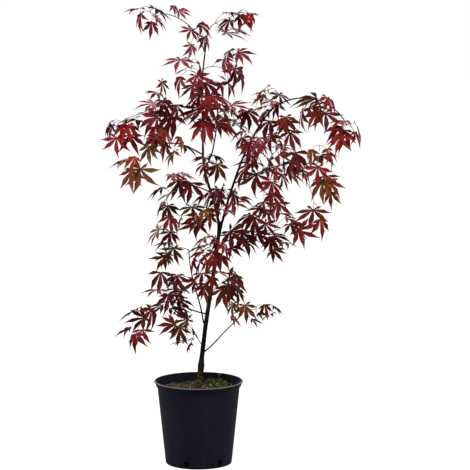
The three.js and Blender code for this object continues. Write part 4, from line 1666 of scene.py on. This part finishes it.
def build_soil():
    """The compost, then crumbs, husks, moss, seedlings and straws on it."""
    brown = ((0.005, 0.0025, 0.0015), (0.205, 0.108, 0.050), (0.38, 0.24, 0.14))
    pale = ((0.012, 0.006, 0.003), (0.400, 0.222, 0.112), (0.52, 0.36, 0.23))
    ground = build_ground(soil_material("compost", *brown))
    crumb = soil_material("compost_crumbs", *pale)
    moss = moss_material()
    seedling = litter_material("seedling_green", (0.200, 0.240, 0.080), (0.460, 0.500, 0.250), 0.5)
    straw = litter_material("dry_straw", (0.28, 0.20, 0.10), (0.42, 0.33, 0.18), 0.6)
    husk = litter_material("bark_flakes", (0.045, 0.022, 0.012), (0.16, 0.095, 0.055), 0.7)
    lumps = [lump_shape(k) for k in range(5)]
    tufts = [tuft_shape(k) for k in range(5)]
    chips = [chip_shape(k) for k in range(4)]
    weeds = [weed_shape(k) for k in range(4)]
    scatter_piece("crumbs", ground, lumps, "bare", 62000, (0.5, 1.7), 3.1, 5, crumb, smooth=True)
    scatter_piece("husks", ground, chips, "bare", 9000, (0.5, 1.6), 0.5, 9, husk, smooth=True)
    scatter_piece("moss_cushions", ground, tufts, "moss", 56000, (0.9, 2.9), 0.5, 13, moss)
    scatter_piece("seedlings", ground, weeds, "moss", 5200, (0.6, 1.25), 0.25, 21, seedling)
    discard(ground)
    build_tall_seedling(seedling)
    build_straws(straw)


def build_tall_seedling(material):
    """One taller weed that stands near the back of the pot."""
    x, y = 0.044, 0.056
    root = np.array([x, y, soil_height(x, y)[0] - 0.5 * MM])
    verts, faces = weed_shape(5)
    made = mesh_object("weed", [root + np.array(v) * (1.5, 1.5, 4.2) for v in verts], faces)
    mesh = made.data.copy()
    mesh.materials.append(material)
    discard(made)
    finished("tall_seedling", mesh)


def build_straws(material):
    """A few bent straws: place, heading, length and how far the far end rises."""
    straws = []
    for x, y, heading, length, rise in (
        (-0.062, 0.012, 0.5, 0.017, 0.004),
        (-0.030, 0.046, 0.2, 0.022, 0.003),
        (0.006, -0.030, 0.9, 0.020, 0.009),
        (0.028, -0.044, 2.6, 0.016, 0.003),
        (-0.018, -0.048, -0.4, 0.019, 0.004),
    ):
        start = np.array([x, y, soil_height(x, y)[0] + 0.6 * MM])
        end = start + np.array([math.cos(heading) * length, math.sin(heading) * length, rise])
        straws.append((arc(start, end, UP * 0.5, -0.04, 6), np.linspace(0.45, 0.25, 6) * MM))
    swept_piece("straws", straws, 5, 0.1, 300.0, material)


def lump_shape(seed):
    """A crumb of compost of a few faces."""
    rng = np.random.default_rng(seed)
    shell = bmesh.new()
    bmesh.ops.create_icosphere(shell, subdivisions=1, radius=1.1 * MM)
    for v in shell.verts:
        v.co *= rng.uniform(0.65, 1.25)
    verts = [tuple(v.co) for v in shell.verts]
    faces = [tuple(v.index for v in f.verts) for f in shell.faces]
    shell.free()
    return verts, faces


def chip_shape(seed):
    """A flat flake of bark or husk."""
    rng = np.random.default_rng(seed + 40)
    count = 6
    length, width = rng.uniform(2.2, 3.6) * MM, rng.uniform(0.8, 1.4) * MM
    ring = []
    for k in range(count):
        angle = math.tau * k / count
        wobble = rng.uniform(0.7, 1.15)
        ring.append((length * math.cos(angle) * wobble, width * math.sin(angle) * wobble))
    verts = [(x, y, 0.55 * MM) for x, y in ring] + [(x, y, -0.1 * MM) for x, y in ring]
    faces = [tuple(range(count)), tuple(reversed(range(count, 2 * count)))]
    for k in range(count):
        n = (k + 1) % count
        faces.append((k, count + k, count + n, n))
    return verts, faces


def spike_faces(first):
    """The faces of a three-sided spike: three points of its foot, then its tip."""
    sides = [(first + k, first + (k + 1) % 3, first + 3) for k in range(3)]
    return sides + [(first + 2, first + 1, first)]


def tuft_shape(seed):
    """A tuft of moss: a few thin shoots."""
    rng = np.random.default_rng(seed + 70)
    verts, faces = [], []
    for _ in range(5):
        x, y = rng.normal(0, 0.7 * MM, 2)
        lean = rng.normal(0, 0.7 * MM, 2)
        tall, wide = rng.uniform(1.2, 2.9) * MM, rng.uniform(0.28, 0.5) * MM
        faces += spike_faces(len(verts))
        for k in range(3):
            angle = math.tau * k / 3
            verts.append((x + wide * math.cos(angle), y + wide * math.sin(angle), -0.3 * MM))
        verts.append((x + lean[0], y + lean[1], tall))
    return verts, faces


def weed_shape(seed):
    """A seedling: a short stem with a few rounded leaves."""
    rng = np.random.default_rng(seed + 90)
    verts, faces = [], []
    tall = rng.uniform(2.5, 5.5) * MM
    for k in range(int(rng.integers(3, 6))):
        angle = math.tau * k / 4 + rng.uniform(-0.4, 0.4)
        way = np.array([math.cos(angle), math.sin(angle), 0])
        side = np.array([-way[1], way[0], 0])
        length, width = rng.uniform(2.2, 3.6) * MM, rng.uniform(0.9, 1.5) * MM
        base = UP * tall * rng.uniform(0.5, 1.0)
        middle = base + way * length * 0.5
        first = len(verts)
        verts += [
            base,
            middle + side * width + UP * 0.5 * MM,
            base + way * length + UP * 0.1 * MM,
            middle - side * width + UP * 0.5 * MM,
        ]
        faces += [(first, first + 3, first + 2), (first, first + 2, first + 1)]
    faces += spike_faces(len(verts))
    verts += [np.array(v) for v in ring_of(3, 0.35 * MM, 0.0)]
    verts.append(UP * tall)
    return verts, faces


# ---------------------------------------------------------------- build the plant

GROWTH_SEED = 18
SWEEP = build_sweep_tree()
HANG = build_hang_tree()
SCATTER = build_scatter_tree()
HOLES = build_hole_tree()


def build_limbs(limbs, bark):
    """The trunk and its boughs, as one piece with bark relief."""
    lines = [(limb["line"], limb["thick"]) for limb in limbs.values()]
    swept_piece("trunk_and_boughs", lines, 16, 0.30, 210.0, bark, sorted(limbs))


def grow_crown(limbs, samples):
    """Grows every spray, mass by mass."""
    growth = Growth(limbs, samples, seed=GROWTH_SEED)
    for node_name in sorted(name for name in NODES if name.startswith("leaves_")):
        growth.grow_spray(node_name.removeprefix("leaves_"), Mass(NODES[node_name]))
    return growth


def hang_leaves(tint, leaves, masses, shapes):
    """All the leaves of one tint, as one piece."""
    hubs, turns, kinds, scales, tones = zip(*leaves)
    points = mesh_object(f"{tint}_points", hubs)
    attribute(points.data, "turn", "FLOAT_VECTOR", "POINT", turns)
    attribute(points.data, "shape", "INT", "POINT", kinds)
    attribute(points.data, "size", "FLOAT_VECTOR", "POINT", [[scale] * 3 for scale in scales])
    attribute(points.data, "tone", "FLOAT", "POINT", tones)
    settings = {"Shapes": shapes, "Material": leaf_material(f"{tint}_leaf", TINTS[tint])}
    hung = run_tree(points, HANG, settings)
    discard(points)
    finished(f"{tint}_leaves", hung, sorted(masses))


def build_plant():
    """The limbs, then the twigs, stalks and leaves that grow from them."""
    bark = bark_material()
    limbs = read_limbs()
    build_limbs(limbs, bark)
    shapes, samples = build_leaves()
    growth = grow_crown(limbs, samples)
    swept_piece("twigs", growth.twigs, 6, 0.25, 320.0, bark)
    swept_piece("leaf_stalks", growth.stalks, 5, 0.0, 100.0, stalk_material())
    for tint, leaves in growth.leaves.items():
        hang_leaves(tint, leaves, growth.masses[tint], shapes)


build_pot(pot_material())
build_soil()
build_plant()

# ---------------------------------------------------------------- floor, light and camera

# the lamps' names, places, sizes, powers and colours, and the point they are aimed at
LAMPS = (
    ("key_lamp", (-1.6, -2.2, 2.9), 1.1, 102, (1.0, 0.99, 0.98)),
    ("fill_lamp", (2.4, -1.2, 1.6), 1.4, 34, (1.0, 1.0, 1.0)),
    ("back_lamp", (-0.6, 2.6, 2.4), 1.6, 34, (1.0, 1.0, 1.0)),
)
LIT_POINT = Vector((0.05, 0.0, 0.6))
# the camera's focal length in millimetres, and how many degrees it looks down
CAMERA_LENS = 176.1
CAMERA_DIP = 7.79


def area_light(name, location, size, power, colour):
    """A soft square lamp aimed at the middle of the plant."""
    lamp = bpy.data.lights.new(name, "AREA")
    lamp.shape = "SQUARE"
    lamp.size = size
    lamp.energy = power
    lamp.color = colour
    made = bpy.data.objects.new(name, lamp)
    made.location = location
    made.rotation_euler = (LIT_POINT - Vector(location)).to_track_quat("-Z", "Y").to_euler()
    bpy.context.scene.collection.objects.link(made)


def build_floor():
    """A wide white floor that gives little light back."""
    reach = 30.0
    corners = [(-reach, -reach, 0), (reach, -reach, 0), (reach, reach, 0), (-reach, reach, 0)]
    floor = mesh_object("studio_floor", corners, [(0, 1, 2, 3)])
    paint, w, surface = new_material("floor_white", 0.9, specular=0.0)
    surface.inputs["Base Color"].default_value = opaque((0.20, 0.20, 0.20))
    surface.inputs["Emission Color"].default_value = opaque((1.0, 1.0, 1.0))
    seen = w.add("ShaderNodeLightPath").outputs["Is Camera Ray"]
    w.feed(seen, surface.inputs["Emission Strength"])
    floor.data.materials.append(paint)


def build_room():
    """White walls, dim as lamps, and bright where plastic mirrors them."""
    world = bpy.data.worlds.new("studio_room")
    world.use_nodes = True
    room = Wiring(world.node_tree)
    background = world.node_tree.nodes["Background"]
    background.inputs["Color"].default_value = opaque((1.0, 1.0, 1.0))
    mirrored = room.add("ShaderNodeLightPath").outputs["Is Glossy Ray"]
    room.feed(room.scaled(mirrored, 0.8, 0.12), background.inputs["Strength"])
    bpy.context.scene.world = world


def build_camera():
    """The camera stands in front, a little above the crown, and looks slightly down."""
    lens = bpy.data.cameras.new("camera")
    lens.lens = CAMERA_LENS
    lens.sensor_width = 36.0
    lens.clip_end = 100.0
    made = bpy.data.objects.new("camera", lens)
    made.location = EYE
    made.rotation_euler = (math.radians(90 - CAMERA_DIP), 0.0, 0.0)
    bpy.context.scene.collection.objects.link(made)
    bpy.context.scene.camera = made


build_floor()
build_room()
for lamp in LAMPS:
    area_light(*lamp)
build_camera()
bpy.context.scene.view_settings.view_transform = "Standard"

# ---------------------------------------------------------------- final scene update

bpy.context.view_layer.update()
